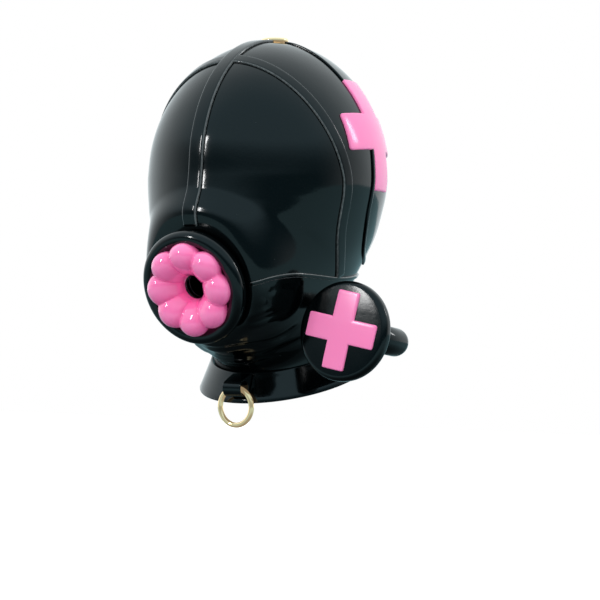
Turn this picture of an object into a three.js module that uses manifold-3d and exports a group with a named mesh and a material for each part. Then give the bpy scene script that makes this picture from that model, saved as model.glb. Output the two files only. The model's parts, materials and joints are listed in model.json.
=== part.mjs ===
// A full-head rubber hood with a round padded muzzle, a petalled mouth ring, a stopper that plugs it,
// a crown eyelet, two cross patches and a collar that carries a hanging ring.
// Millimetres. +Z is up, the face looks along -Y and the wearer's left is +X.
// The origin is where the top of the wearer's head bears against the inside of the hood, under the eyelet.
import * as THREE from "three";
import { mergeVertices } from "three/addons/utils/BufferGeometryUtils.js";
import Module from "manifold-3d";

const wasm = await Module();
wasm.setup();

const deg = THREE.MathUtils.degToRad;

// Head and neck, measured on the outer skin from the middle of the head
const HEAD_BREADTH = 162.5;
const BROW_REACH = 88.5;
const OCCIPUT_REACH = 94.5;
const CROWN_RISE = 96.5;
const CROWN_SET = 11;
const CHIN_DROP = 125;
const NECK_BREADTH = 101;
const NECK_DEPTH = 100;
const NECK_SET = 24;
const HEM_DROP = 143.5;
const HEM_LEAN = 19;

// Rubber thicknesses and the clearance that every glued piece keeps
const WALL = 1.6;
const TAPE_THICKNESS = 0.9;
const SEAM_THICKNESS = 0.7;
const PATCH_THICKNESS = 1.2;
const BOND_GAP = 0.35;

// Widths of the tapes over the joins between panels
const CENTRE_WIDTH = 11;
const TEMPLE_WIDTH = 8.4;
const SEAM_WIDTH = 3;

// Cross patches behind the ears
const PATCH_SPAN = 81;
const PATCH_ARM = 26.5;
const PATCH_CORNER = 2.5;
const PATCH_SHARE = 0.316;
const PATCH_TURN = 14.5;
const PATCH_TILT = 2;

// Crown eyelet
const EYELET_SET = 11;
const EYELET_OUTER = 19.5;
const EYELET_HOLE = 9.5;
const EYELET_BARREL_WALL = 1;
const EYELET_FLANGE = 2.4;
const EYELET_WASHER = 1;

// Muzzle, whose axis points forwards and down from the middle of its back face, set back from the brow
const MUZZLE_SETBACK = 5.5;
const MUZZLE_DROP = 74.1;
const MUZZLE_PITCH = 15.7;
const MUZZLE_OUTER = 80;
const MUZZLE_DEPTH = 13.5;
const MUZZLE_BACK_EDGE = 6;
const MUZZLE_FLOOR = 4;
const MUZZLE_BLEND = 26;
const RECESS_WIDTH = 66;
const BORE = 18;

// Petalled mouth ring
const PETALS = 8;
const PETAL_OUTER = 64.5;
const PETAL_HOLE = 15;
const PETAL_FRONT_PLUMP = 9;
const PETAL_BACK_PLUMP = 10;
const PETAL_NOTCH = 2.8;
const PETAL_FUNNEL = 8;
const PETAL_CREASE = 0.55;

// Collar, its tab and the ring that hangs in it
const COLLAR_TUCK = 7;
const COLLAR_HEIGHT = 21;
const COLLAR_FLARE = 8;
const COLLAR_WALL = 1.6;
const COLLAR_EASE = 0.7;
const RING_OUTER = 29.5;
const RING_WIRE = 3.8;
const RING_DROP = 3.6;
const TAB_WIDTH = 14.5;
const TAB_THICKNESS = 1.2;

// Stopper, taken off and held beside the neck
const CAP_OUTER = 68.5;
const CAP_THICKNESS = 9.5;
const CAP_EDGE = 3.8;
const CAP_CROSS_SPAN = 54;
const CAP_CROSS_ARM = 17;
const CAP_CROSS_CORNER = 1.6;
const STEM_WIDTH = 20;
const STEM_LENGTH = 72;
const CAP_SIDE = 87.2;
const CAP_REACH = 42;
const CAP_DROP = 105.2;
const CAP_ROLL = 10.3;
const CAP_FACE_UP = 8;

// How finely round things are cut into facets
const SKIN_STEPS = 25;
const SKIN_SIDES = 40;
const ROUND_SIDES = 32;
const SMALL_SIDES = 20;
const CORNER_STEPS = 3;
const EYE_SIDES = 16;
const PETAL_STEPS = 8;
const PETAL_SIDES = 10;

// Finishes
const BLACK_LATEX = { color: 0x0a0a0c, roughness: 0.2, metalness: 0 };
const BLACK_RUBBER = { color: 0x111114, roughness: 0.35, metalness: 0 };
const PINK_RUBBER = { color: 0xf38fc4, roughness: 0.3, metalness: 0 };
const GOLD = { color: 0xd8a84a, roughness: 0.25, metalness: 1 };

const LEFT = new THREE.Vector3(1, 0, 0);
const BACK = new THREE.Vector3(0, 1, 0);
const UP = new THREE.Vector3(0, 0, 1);

function solidOf(geometry) {
  const bare = geometry.index ? geometry.toNonIndexed() : geometry.clone();
  bare.deleteAttribute("normal");
  bare.deleteAttribute("uv");
  const merged = mergeVertices(bare, 1e-4);
  return new wasm.Manifold(
    new wasm.Mesh({
      numProp: 3,
      vertProperties: merged.attributes.position.array,
      triVerts: new Uint32Array(merged.index.array),
    }),
  );
}

function geometryOf(solid) {
  const mesh = solid.getMesh();
  const geometry = new THREE.BufferGeometry();
  geometry.setAttribute("position", new THREE.BufferAttribute(mesh.vertProperties, mesh.numProp));
  geometry.setIndex(new THREE.BufferAttribute(mesh.triVerts, 1));
  const flat = geometry.toNonIndexed();
  flat.computeVertexNormals();
  return flat;
}

// A closed skin through rings of points. Loops join the last ring to the first, and the others close
// on the single point that their first and last rings have shrunk to. The facets of the right half
// mirror those of the left, for rings that start at the left side.
function skinThrough(rings, loops) {
  const sides = rings[0].length;
  const positions = rings.flat().flatMap((p) => [p.x, p.y, p.z]);
  const faces = [];
  const bands = loops ? rings.length : rings.length - 1;
  for (let row = 0; row < bands; row++) {
    const above = row * sides;
    const below = ((row + 1) % rings.length) * sides;
    for (let side = 0; side < sides; side++) {
      const next = (side + 1) % sides;
      const right = side >= sides / 4 && side < (3 * sides) / 4;
      if (right) {
        faces.push(above + side, below + side, below + next);
        faces.push(above + side, below + next, above + next);
      } else {
        faces.push(above + side, below + side, above + next);
        faces.push(above + next, below + side, below + next);
      }
    }
  }
  const geometry = new THREE.BufferGeometry();
  geometry.setAttribute("position", new THREE.Float32BufferAttribute(positions, 3));
  geometry.setIndex(faces);
  return geometry;
}

// Three guide lines shape the head: down the middle of the face, down the ear side and down the back.
// front and back are [reach, drop] and side is [reach, set back, drop]. Reaches are shares of BROW_REACH,
// half HEAD_BREADTH and OCCIPUT_REACH, drops are shares of CHIN_DROP. full is how much squarer (above 0)
// or more pointed (below 0) than an ellipse the front half of that ring is.
const FACE_ROWS = [
  { at: "ears", front: [1.0, 0.0], side: [1.0, 0.03, 0.0], back: [1.0, 0.0], full: 0.02 },
  { at: "eyes", front: [1.03, 0.12], side: [0.985, 0.03, 0.1], back: [0.995, 0.09], full: 0.0 },
  { at: "nose", front: [1.09, 0.27], side: [0.935, 0.04, 0.23], back: [0.975, 0.19], full: -0.05 },
  { at: "lips", front: [1.0, 0.48], side: [0.865, 0.04, 0.37], back: [0.965, 0.3], full: -0.06 },
  { at: "mouth", front: [0.9, 0.71], side: [0.78, 0.03, 0.51], back: [0.9, 0.42], full: -0.08 },
  { at: "chin", front: [0.8, 0.91], side: [0.71, 0.05, 0.63], back: [0.78, 0.53], full: -0.12 },
  { at: "under chin", front: [0.68, 1.0], side: [0.66, 0.1, 0.71], back: [0.72, 0.62], full: -0.14 },
];

// Below the chin the rings stand round the neck, in the same columns. Reaches and the set back are shares
// of half NECK_DEPTH and half NECK_BREADTH from the neck's own axis, and drops are shares of the way from
// under the chin to the hem.
const NECK_ROWS = [
  { at: "crease", front: [1.2, 0.28], side: [1.06, -0.16, 0.26], back: [1.02, 0.27], full: -0.06 },
  { at: "throat", front: [1.03, 0.55], side: [1.0, -0.04, 0.6], back: [1.0, 0.62], full: 0.0 },
  { at: "hem", front: [1.0, 1.0], side: [1.0, 0, 1.0], back: [1.0, 1.0], full: 0.0 },
];
const CROWN_STEPS = 6;

// How domed the crown is along each guide: 1 is an ellipse, and less is fuller
const CROWN_DOME = { front: 0.9, side: 1.1, back: 0.85 };

function guideRows() {
  const rows = [];
  for (let step = 0; step < CROWN_STEPS; step++) {
    const angle = (step / CROWN_STEPS) * (Math.PI / 2);
    const rise = CROWN_RISE * Math.cos(angle);
    const out = (dome) => Math.sin(angle) ** dome;
    const set = CROWN_SET * (1 - Math.sin(angle));
    const ears = FACE_ROWS[0].side[1] * OCCIPUT_REACH * Math.sin(angle);
    rows.push({
      front: new THREE.Vector3(0, set - BROW_REACH * out(CROWN_DOME.front), rise),
      side: new THREE.Vector3((HEAD_BREADTH / 2) * out(CROWN_DOME.side), set + ears, rise),
      back: new THREE.Vector3(0, set + OCCIPUT_REACH * out(CROWN_DOME.back), rise),
      full: 0,
    });
  }
  for (const { front, side, back, full } of FACE_ROWS) {
    rows.push({
      front: new THREE.Vector3(0, -front[0] * BROW_REACH, -front[1] * CHIN_DROP),
      side: new THREE.Vector3((side[0] * HEAD_BREADTH) / 2, side[1] * OCCIPUT_REACH, -side[2] * CHIN_DROP),
      back: new THREE.Vector3(0, back[0] * OCCIPUT_REACH, -back[1] * CHIN_DROP),
      full,
    });
  }
  const under = FACE_ROWS[FACE_ROWS.length - 1];
  const slope = Math.tan(deg(HEM_LEAN));
  const hem = {
    front: HEM_DROP,
    side: HEM_DROP - (NECK_DEPTH / 2) * slope,
    back: HEM_DROP - NECK_DEPTH * slope,
  };
  const dropTo = (share, start, end) => -THREE.MathUtils.lerp(start * CHIN_DROP, end, share);
  for (const { front, side, back, full } of NECK_ROWS) {
    const frontDrop = dropTo(front[1], under.front[1], hem.front);
    const sideDrop = dropTo(side[2], under.side[2], hem.side);
    const backDrop = dropTo(back[1], under.back[1], hem.back);
    rows.push({
      front: new THREE.Vector3(0, NECK_SET - (front[0] * NECK_DEPTH) / 2, frontDrop),
      side: new THREE.Vector3((side[0] * NECK_BREADTH) / 2, NECK_SET + (side[1] * NECK_DEPTH) / 2, sideDrop),
      back: new THREE.Vector3(0, NECK_SET + (back[0] * NECK_DEPTH) / 2, backDrop),
      full,
    });
  }
  return rows;
}

const ROWS = guideRows();
const GUIDES = ["front", "side", "back"].map(
  (line) => new THREE.CatmullRomCurve3(ROWS.map((row) => row[line]), false, "centripetal"),
);

// The share of the way down the guides at which a named row lies
function shareOf(name) {
  const index = [...FACE_ROWS, ...NECK_ROWS].findIndex((row) => row.at === name);
  return (CROWN_STEPS + index) / (ROWS.length - 1);
}

// The height at y on the parabola through the ring's front, side and back points
function heightOn(front, side, back, y) {
  const nearFront = ((y - side.y) * (y - back.y)) / ((front.y - side.y) * (front.y - back.y));
  const nearSide = ((y - front.y) * (y - back.y)) / ((side.y - front.y) * (side.y - back.y));
  const nearBack = ((y - front.y) * (y - side.y)) / ((back.y - front.y) * (back.y - side.y));
  return nearFront * front.z + nearSide * side.z + nearBack * back.z;
}

// The muzzle's frame: across, up its face and out along its axis
const pitch = deg(MUZZLE_PITCH);
const muzzleAxis = new THREE.Vector3(0, -Math.cos(pitch), -Math.sin(pitch));
const muzzleSeat = new THREE.Vector3(0, MUZZLE_SETBACK - BROW_REACH, -MUZZLE_DROP);
const muzzleFrame = new THREE.Matrix4()
  .makeBasis(LEFT, new THREE.Vector3().crossVectors(muzzleAxis, LEFT), muzzleAxis)
  .setPosition(muzzleSeat);

// The skin is stretched flat behind the muzzle and runs back into the face around it
function stretchedOverMuzzle(point) {
  const from = new THREE.Vector3().subVectors(point, muzzleSeat);
  const along = from.dot(muzzleAxis);
  const aside = from.addScaledVector(muzzleAxis, -along).length();
  const inReach = 1 - THREE.MathUtils.smoothstep(aside, MUZZLE_OUTER / 2, MUZZLE_OUTER / 2 + MUZZLE_BLEND);
  const nearby = THREE.MathUtils.smoothstep(along, -MUZZLE_OUTER, -MUZZLE_OUTER / 2);
  return point.addScaledVector(muzzleAxis, inReach * nearby * (-BOND_GAP - along));
}

// A point on the outer skin, share of the way down and turned round from the left ear towards the back
function skinPoint(share, turn) {
  const [front, side, back] = GUIDES.map((guide) => guide.getPoint(THREE.MathUtils.clamp(share, 0, 1)));
  const place = THREE.MathUtils.clamp(share, 0, 1) * (ROWS.length - 1);
  const row = Math.min(Math.floor(place), ROWS.length - 2);
  const full = THREE.MathUtils.lerp(ROWS[row].full, ROWS[row + 1].full, place - row);
  const backward = Math.sin(turn);
  const reach = backward < 0 ? side.y - front.y : back.y - side.y;
  const y = side.y + reach * backward;
  const x = side.x * Math.cos(turn) * (1 + (backward < 0 ? full : 0) * backward * backward);
  const level = Math.abs(front.y - back.y) < 1 ? front.z : heightOn(front, side, back, y);
  return stretchedOverMuzzle(new THREE.Vector3(x, y, level));
}

// The way straight out of the skin there, squared up to the facets around it
function skinNormal(share, turn) {
  const step = 1 / SKIN_STEPS;
  const side = (2 * Math.PI) / SKIN_SIDES;
  if (share < step / 2) return UP.clone();
  const round = skinPoint(share, turn + side).sub(skinPoint(share, turn - side));
  const down = skinPoint(share + step, turn).sub(skinPoint(share - step, turn));
  return down.cross(round).normalize();
}

function skinRing(share, offset) {
  const ring = [];
  for (let side = 0; side < SKIN_SIDES; side++) {
    const turn = (side / SKIN_SIDES) * 2 * Math.PI;
    ring.push(skinPoint(share, turn).addScaledVector(skinNormal(share, turn), offset));
  }
  return ring;
}

// A sheet of rubber over the whole head and neck, between two offsets from the outer skin
function skinSheet(inner, outer) {
  const shares = Array.from({ length: SKIN_STEPS + 1 }, (_, step) => step / SKIN_STEPS);
  const outside = shares.map((share) => skinRing(share, outer));
  const inside = shares.map((share) => skinRing(share, inner)).reverse();
  return solidOf(skinThrough([...outside, ...inside], false));
}

// The share between two shares at which the skin first passes a test
function shareWhere(low, high, passes) {
  for (let step = 0; step < 30; step++) {
    const middle = (low + high) / 2;
    if (passes(skinPoint.bind(null, middle))) high = middle;
    else low = middle;
  }
  return high;
}

// A frame standing on a point with its third axis along the way out
function frameOn(point, out, up) {
  const across = new THREE.Vector3().crossVectors(up, out).normalize();
  const along = new THREE.Vector3().crossVectors(out, across);
  return new THREE.Matrix4().makeBasis(across, along, out).setPosition(point);
}

// A turned solid about +Z from its half outline, given from the axis and back to it
function turned(outline, sides) {
  return new THREE.LatheGeometry(outline, sides).rotateX(Math.PI / 2);
}

// An arc of an outline, between two angles about a centre
function arc(x, y, radius, from, to, steps = 4) {
  return Array.from({ length: steps + 1 }, (_, step) => {
    const angle = THREE.MathUtils.lerp(from, to, step / steps);
    return new THREE.Vector2(x + radius * Math.cos(angle), y + radius * Math.sin(angle));
  });
}

const QUARTER_TURN = Math.PI / 2;

function cylinder(radius, from, to, sides) {
  return turned(
    [
      new THREE.Vector2(0, from),
      new THREE.Vector2(radius, from),
      new THREE.Vector2(radius, to),
      new THREE.Vector2(0, to),
    ],
    sides,
  );
}

// An upright cross with rounded outer corners
function crossShape(span, arm, corner) {
  const shape = new THREE.Shape();
  const half = span / 2;
  const near = arm / 2;
  for (let limb = 0; limb < 4; limb++) {
    const turn = limb * QUARTER_TURN;
    const at = (x, y) => [x * Math.cos(turn) - y * Math.sin(turn), x * Math.sin(turn) + y * Math.cos(turn)];
    const inner = at(near, -near);
    if (limb === 0) shape.moveTo(...inner);
    else shape.lineTo(...inner);
    for (const point of arc(half - corner, corner - near, corner, -QUARTER_TURN, 0, CORNER_STEPS)) {
      shape.lineTo(...at(point.x, point.y));
    }
    for (const point of arc(half - corner, near - corner, corner, 0, QUARTER_TURN, CORNER_STEPS)) {
      shape.lineTo(...at(point.x, point.y));
    }
  }
  shape.closePath();
  return shape;
}

// A cutter along the left side whose outline is a band about a guide, seen from the side as back and up
function sideBand(guide, width, from) {
  const curve = new THREE.CatmullRomCurve3(guide.map(([y, z]) => new THREE.Vector3(y, z, 0)));
  const steps = 3 * guide.length;
  const edges = [[], []];
  for (let step = 0; step <= steps; step++) {
    const point = curve.getPoint(step / steps);
    const way = curve.getTangent(step / steps);
    edges[0].push(new THREE.Vector2(point.x - (way.y * width) / 2, point.y + (way.x * width) / 2));
    edges[1].push(new THREE.Vector2(point.x + (way.y * width) / 2, point.y - (way.x * width) / 2));
  }
  const shape = new THREE.Shape([...edges[0], ...edges[1].reverse()]);
  const geometry = new THREE.ExtrudeGeometry(shape, { depth: HEAD_BREADTH, bevelEnabled: false });
  geometry.applyMatrix4(new THREE.Matrix4().makeBasis(BACK, UP, LEFT).setPosition(from, 0, 0));
  return solidOf(geometry);
}

const hood = new THREE.Group();

function add(name, finish, solid) {
  const mesh = new THREE.Mesh(geometryOf(solid), new THREE.MeshStandardMaterial(finish));
  mesh.name = name;
  hood.add(mesh);
}

// The whole of a cut strip, without a sliver that a cut may leave at its end
function longest(solid) {
  return solid.decompose().sort((a, b) => b.volume() - a.volume())[0];
}

function addBothSides(name, finish, solid) {
  add(`${name}_left`, finish, solid);
  add(`${name}_right`, finish, solid.mirror([1, 0, 0]));
}

// Crown eyelet: a rolled flange outside, a barrel through the skin and a washer under it
const eyeletShare = shareWhere(0, shareOf("ears"), (at) => at(QUARTER_TURN).y >= EYELET_SET);
const eyeletPoint = skinPoint(eyeletShare, QUARTER_TURN);
const eyeletFrame = frameOn(eyeletPoint, skinNormal(eyeletShare, QUARTER_TURN), LEFT);
const barrel = EYELET_HOLE / 2 + EYELET_BARREL_WALL;
const flange = EYELET_OUTER / 2;
// The facets beside the eyelet fall away from the crown in straight lines, most steeply to the sides
const crownFacet = skinPoint(1 / SKIN_STEPS, 0);
const crownSag = (radius) => (radius * (CROWN_RISE - crownFacet.z)) / crownFacet.x;
const washerTop = -WALL - crownSag(flange) - BOND_GAP;
const flangeRound = EYELET_FLANGE / 2;
const flangeMiddle = BOND_GAP + flangeRound;
const eyelet = turned(
  [
    new THREE.Vector2(EYELET_HOLE / 2, washerTop - EYELET_WASHER),
    new THREE.Vector2(flange, washerTop - EYELET_WASHER),
    new THREE.Vector2(flange, washerTop),
    new THREE.Vector2(barrel, washerTop),
    new THREE.Vector2(barrel, BOND_GAP),
    new THREE.Vector2(flange, BOND_GAP),
    ...arc(flange - flangeRound, flangeMiddle, flangeRound, 0, QUARTER_TURN, 2),
    ...arc(EYELET_HOLE / 2 + flangeRound, flangeMiddle, flangeRound, QUARTER_TURN, 2 * QUARTER_TURN, 2),
    new THREE.Vector2(EYELET_HOLE / 2, washerTop - EYELET_WASHER),
  ],
  SMALL_SIDES,
).applyMatrix4(eyeletFrame);
const eyeletHole = solidOf(
  cylinder(barrel + BOND_GAP, 2 * washerTop, EYELET_FLANGE, SMALL_SIDES).applyMatrix4(eyeletFrame),
);
const eyeletFootprint = solidOf(
  cylinder(flange + BOND_GAP, -2 * EYELET_FLANGE, 2 * EYELET_FLANGE, ROUND_SIDES).applyMatrix4(eyeletFrame),
);

// Hood skin: two halves that meet down the middle, under the centre strip, around the eyelet's hole and
// the bore into the mouth
const boreCut = solidOf(
  cylinder(BORE / 2, -MUZZLE_DEPTH, 2 * MUZZLE_DEPTH, ROUND_SIDES).applyMatrix4(muzzleFrame),
);
const skin = skinSheet(-WALL, 0).subtract(boreCut).subtract(eyeletHole);
addBothSides("hood_half", BLACK_LATEX, skin.trimByPlane([1, 0, 0], BOND_GAP / 2));

add("crown_eyelet", GOLD, solidOf(eyelet));

// Seams are cut from sheets that lie over the skin. Their guides are [back, up] on the left side, in
// shares of OCCIPUT_REACH and CROWN_RISE.
const muzzleCleared = MUZZLE_OUTER / 2 + 3 * BOND_GAP;
const muzzleFootprint = solidOf(
  cylinder(muzzleCleared, -2 * MUZZLE_DEPTH, 2 * MUZZLE_DEPTH, ROUND_SIDES).applyMatrix4(muzzleFrame),
);
const guided = (rows) => rows.map(([back, up]) => [back * OCCIPUT_REACH, up * CROWN_RISE]);
const TEMPLE_GUIDE = guided([
  [-0.56, 1.02],
  [-0.38, 0.52],
  [-0.22, 0.0],
  [-0.18, -0.4],
  [-0.02, -0.73],
]);
const BACK_GUIDE = guided([
  [0.09, 1.1],
  [0.11, 0.77],
  [0.14, 0.4],
  [0.115, 0.0],
  [0.125, -0.3],
  [0.24, -0.52],
  [0.48, -0.62],
]);
const JAW_GUIDE = guided([
  [-1.0, -0.84],
  [-0.83, -0.745],
  [-0.6, -0.705],
  [-0.4, -0.71],
  [0.0, -0.735],
  [0.45, -0.71],
  [1.1, -0.66],
]);
const tapeSheet = skinSheet(BOND_GAP, BOND_GAP + TAPE_THICKNESS);
const seamSheet = skinSheet(BOND_GAP, BOND_GAP + SEAM_THICKNESS);
const centreBand = (margin) =>
  solidOf(
    new THREE.BoxGeometry(CENTRE_WIDTH + 2 * margin, 2 * BROW_REACH, 2 * CROWN_RISE).translate(
      0,
      EYELET_SET - BROW_REACH,
      0,
    ),
  );

// Centre strip from the crown eyelet down to the muzzle
const centreStrip = tapeSheet.intersect(centreBand(0)).subtract(eyeletFootprint).subtract(muzzleFootprint);
add("centre_strip", BLACK_LATEX, centreStrip);

// Temple strips, from the centre strip down past the ears to the jaw seam
const jawBand = sideBand(JAW_GUIDE, SEAM_WIDTH, BOND_GAP / 2);
const jawClear = sideBand(JAW_GUIDE, SEAM_WIDTH + 2 * BOND_GAP, 0);
const templeBand = sideBand(TEMPLE_GUIDE, TEMPLE_WIDTH, 0);
const templeStrip = tapeSheet.intersect(templeBand).subtract(centreBand(BOND_GAP)).subtract(jawClear);
addBothSides("temple_strip", BLACK_LATEX, templeStrip);

// Cross patches
const patchTurn = deg(PATCH_TURN);
const patchPoint = skinPoint(PATCH_SHARE, patchTurn);
const patchFrame = frameOn(patchPoint, skinNormal(PATCH_SHARE, patchTurn), UP).multiply(
  new THREE.Matrix4().makeRotationZ(-deg(PATCH_TILT)),
);
function patchCutter(margin) {
  const shape = crossShape(PATCH_SPAN + 2 * margin, PATCH_ARM + 2 * margin, PATCH_CORNER + margin);
  const geometry = new THREE.ExtrudeGeometry(shape, { depth: HEAD_BREADTH / 2, bevelEnabled: false });
  return solidOf(geometry.translate(0, 0, -HEAD_BREADTH / 4).applyMatrix4(patchFrame));
}
const patchSheet = skinSheet(BOND_GAP, BOND_GAP + PATCH_THICKNESS);
addBothSides("cross_patch", PINK_RUBBER, patchSheet.intersect(patchCutter(0)));

// Back seam, in two stretches a side that the patch parts, and the jaw seam round to the nape
const backBand = sideBand(BACK_GUIDE, SEAM_WIDTH, BOND_GAP / 2);
const [backUpper, backLower] = seamSheet
  .intersect(backBand)
  .subtract(patchCutter(BOND_GAP))
  .subtract(eyeletFootprint)
  .subtract(jawClear)
  .decompose()
  .sort((a, b) => b.boundingBox().max[2] - a.boundingBox().max[2]);
addBothSides("back_seam_upper", BLACK_LATEX, backUpper);
addBothSides("back_seam_lower", BLACK_LATEX, backLower);
addBothSides("jaw_seam", BLACK_LATEX, longest(seamSheet.intersect(jawBand).subtract(muzzleFootprint)));

// Muzzle rim: a dish with a rounded lip
const lip = (MUZZLE_OUTER - RECESS_WIDTH) / 4;
const rim = turned(
  [
    new THREE.Vector2(BORE / 2, 0),
    ...arc(MUZZLE_OUTER / 2 - MUZZLE_BACK_EDGE, MUZZLE_BACK_EDGE, MUZZLE_BACK_EDGE, -QUARTER_TURN, 0, 3),
    ...arc(MUZZLE_OUTER / 2 - lip, MUZZLE_DEPTH - lip, lip, 0, 2 * QUARTER_TURN, 6),
    ...arc(RECESS_WIDTH / 2 - lip, MUZZLE_FLOOR + lip, lip, 0, -QUARTER_TURN, 3),
    new THREE.Vector2(BORE / 2, MUZZLE_FLOOR),
    new THREE.Vector2(BORE / 2, 0),
  ],
  ROUND_SIDES,
);
add("muzzle_rim", BLACK_RUBBER, solidOf(rim.applyMatrix4(muzzleFrame)));

// Petalled ring: its section swells and shrinks from petal to petal, and its inner edge sinks in a funnel
function petalSection(angle) {
  const swell = Math.abs(Math.cos((PETALS / 2) * angle)) ** PETAL_CREASE;
  const outer = PETAL_OUTER / 2 - PETAL_NOTCH * (1 - swell);
  const middle = (outer + PETAL_HOLE / 2) / 2;
  const reach = (outer - PETAL_HOLE / 2) / 2;
  const plump = THREE.MathUtils.lerp(PETAL_FRONT_PLUMP * PETAL_CREASE, PETAL_FRONT_PLUMP, swell);
  const seat = MUZZLE_FLOOR + BOND_GAP + PETAL_BACK_PLUMP;
  return Array.from({ length: PETAL_SIDES }, (_, side) => {
    const turn = (side / PETAL_SIDES) * 2 * Math.PI;
    const out = middle + reach * Math.cos(turn);
    const sunk = PETAL_FUNNEL * ((1 - Math.cos(turn)) / 2) ** 2;
    const bulge = Math.sin(turn) > 0 ? plump : PETAL_BACK_PLUMP - sunk;
    const rise = seat + bulge * Math.sin(turn) - sunk;
    return new THREE.Vector3(out * Math.cos(angle), out * Math.sin(angle), rise);
  });
}
function petalRing() {
  const steps = PETALS * PETAL_STEPS;
  const sections = Array.from({ length: steps }, (_, step) => petalSection((step / steps) * 2 * Math.PI));
  return skinThrough(sections, true);
}
add("petal_ring", PINK_RUBBER, solidOf(petalRing().applyMatrix4(muzzleFrame)));

// Collar: a band that grips the neck and flares to its lower edge
function collarRing(above, drop, flare) {
  const ring = [];
  for (let side = 0; side < SKIN_SIDES; side++) {
    const turn = (side / SKIN_SIDES) * 2 * Math.PI;
    const hem = skinPoint(1, turn);
    const share = shareWhere(shareOf("crease"), 1, (at) => at(turn).z <= hem.z + above);
    const out = skinNormal(1, turn).setZ(0).normalize();
    ring.push(skinPoint(share, turn).addScaledVector(out, flare).addScaledVector(UP, -drop));
  }
  return ring;
}
const collarFoot = COLLAR_HEIGHT - COLLAR_TUCK;
const hemFlare = (COLLAR_FLARE * COLLAR_TUCK) / COLLAR_HEIGHT;
const collar = skinThrough(
  [
    collarRing(COLLAR_TUCK, 0, COLLAR_EASE + COLLAR_WALL),
    collarRing(0, 0, COLLAR_EASE + hemFlare + COLLAR_WALL),
    collarRing(0, collarFoot, COLLAR_EASE + COLLAR_FLARE + COLLAR_WALL),
    collarRing(0, collarFoot, COLLAR_EASE + COLLAR_FLARE),
    collarRing(0, 0, COLLAR_EASE + hemFlare),
    collarRing(COLLAR_TUCK, 0, COLLAR_EASE),
  ],
  true,
);
add("collar", BLACK_LATEX, solidOf(collar));

// Throat tab: a strap looped round the ring's wire and glued to the collar along its upper edge
const collarFront = collarRing(COLLAR_TUCK, 0, COLLAR_EASE + COLLAR_WALL)[(3 * SKIN_SIDES) / 4];
const collarToe = collarRing(0, collarFoot, COLLAR_EASE + COLLAR_FLARE + COLLAR_WALL)[(3 * SKIN_SIDES) / 4];
const flare = Math.atan2(collarFront.y - collarToe.y, collarFront.z - collarToe.z);
const wireSwing = RING_OUTER / 2 - RING_WIRE / 2;
const wireLean = Math.asin(TAB_WIDTH / 2 / wireSwing);
const wireReach = wireSwing * (1 - Math.cos(wireLean)) + RING_WIRE / 2 / Math.cos(wireLean);
const eyeRadius = (wireReach + BOND_GAP) / Math.cos(Math.PI / EYE_SIDES);
const tabTop = collarFront.z - BOND_GAP;
const hingeRise = tabTop - eyeRadius - TAB_THICKNESS - RING_DROP;
const standOff = eyeRadius + TAB_THICKNESS + BOND_GAP;
const hingeBack = collarFront.y - (standOff + Math.sin(flare) * (tabTop - hingeRise)) / Math.cos(flare);

// The doubled strap hangs from its top, and its straight sides touch the loop round the hinge
const tabBack = collarFront.y - BOND_GAP;
const tabFront = tabBack - 2 * TAB_THICKNESS;
const loopRadius = eyeRadius + TAB_THICKNESS;
function touchAngle(side, turn) {
  const away = new THREE.Vector2(side - hingeBack, tabTop - hingeRise);
  return away.angle() + turn * Math.acos(loopRadius / away.length());
}
const loopEnd = touchAngle(tabBack, -1) + 4 * QUARTER_TURN;
const tabShape = new THREE.Shape([
  new THREE.Vector2(tabBack, tabTop),
  new THREE.Vector2(tabFront, tabTop),
  ...arc(hingeBack, hingeRise, loopRadius, touchAngle(tabFront, 1), loopEnd, 12),
]);
const tab = new THREE.ExtrudeGeometry(tabShape, { depth: TAB_WIDTH, bevelEnabled: false });
const tabFrame = new THREE.Matrix4().makeBasis(BACK, UP, LEFT).setPosition(-TAB_WIDTH / 2, 0, 0);
const tabEye = new THREE.ExtrudeGeometry(
  new THREE.Shape(arc(hingeBack, hingeRise, eyeRadius, 0, 4 * QUARTER_TURN, EYE_SIDES).slice(0, EYE_SIDES)),
  { depth: 2 * TAB_WIDTH, bevelEnabled: false },
).translate(0, 0, -TAB_WIDTH / 2);
const tabBlank = solidOf(tab.applyMatrix4(tabFrame));
add("throat_tab", BLACK_LATEX, tabBlank.subtract(solidOf(tabEye.applyMatrix4(tabFrame))));

// Throat ring, hanging from its hinge in the tab
const ring = new THREE.TorusGeometry(wireSwing, RING_WIRE / 2, 8, SMALL_SIDES + 8).rotateX(QUARTER_TURN);
ring.translate(0, hingeBack, hingeRise - wireSwing);
add("throat_ring", GOLD, solidOf(ring));

// Stopper: a thick disc with rounded edges, a cross on its face and a round-ended stem behind
const capFrame = new THREE.Matrix4()
  .makeRotationX(-deg(CAP_FACE_UP))
  .multiply(new THREE.Matrix4().makeRotationY(deg(CAP_ROLL)))
  .multiply(new THREE.Matrix4().makeBasis(LEFT, UP, BACK.clone().negate()))
  .setPosition(CAP_SIDE, -CAP_REACH, -CAP_DROP);
const capRadius = CAP_OUTER / 2;
const cap = turned(
  [
    new THREE.Vector2(0, -CAP_THICKNESS),
    ...arc(capRadius - CAP_EDGE, CAP_EDGE - CAP_THICKNESS, CAP_EDGE, -QUARTER_TURN, 0, 3),
    ...arc(capRadius - CAP_EDGE, -CAP_EDGE, CAP_EDGE, 0, QUARTER_TURN, 3),
    new THREE.Vector2(0, 0),
  ],
  ROUND_SIDES,
);
add("stopper_cap", BLACK_RUBBER, solidOf(cap.applyMatrix4(capFrame)));
const capCross = new THREE.ExtrudeGeometry(crossShape(CAP_CROSS_SPAN, CAP_CROSS_ARM, CAP_CROSS_CORNER), {
  depth: PATCH_THICKNESS,
  bevelEnabled: false,
}).translate(0, 0, BOND_GAP);
add("stopper_cross", PINK_RUBBER, solidOf(capCross.applyMatrix4(capFrame)));
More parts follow.
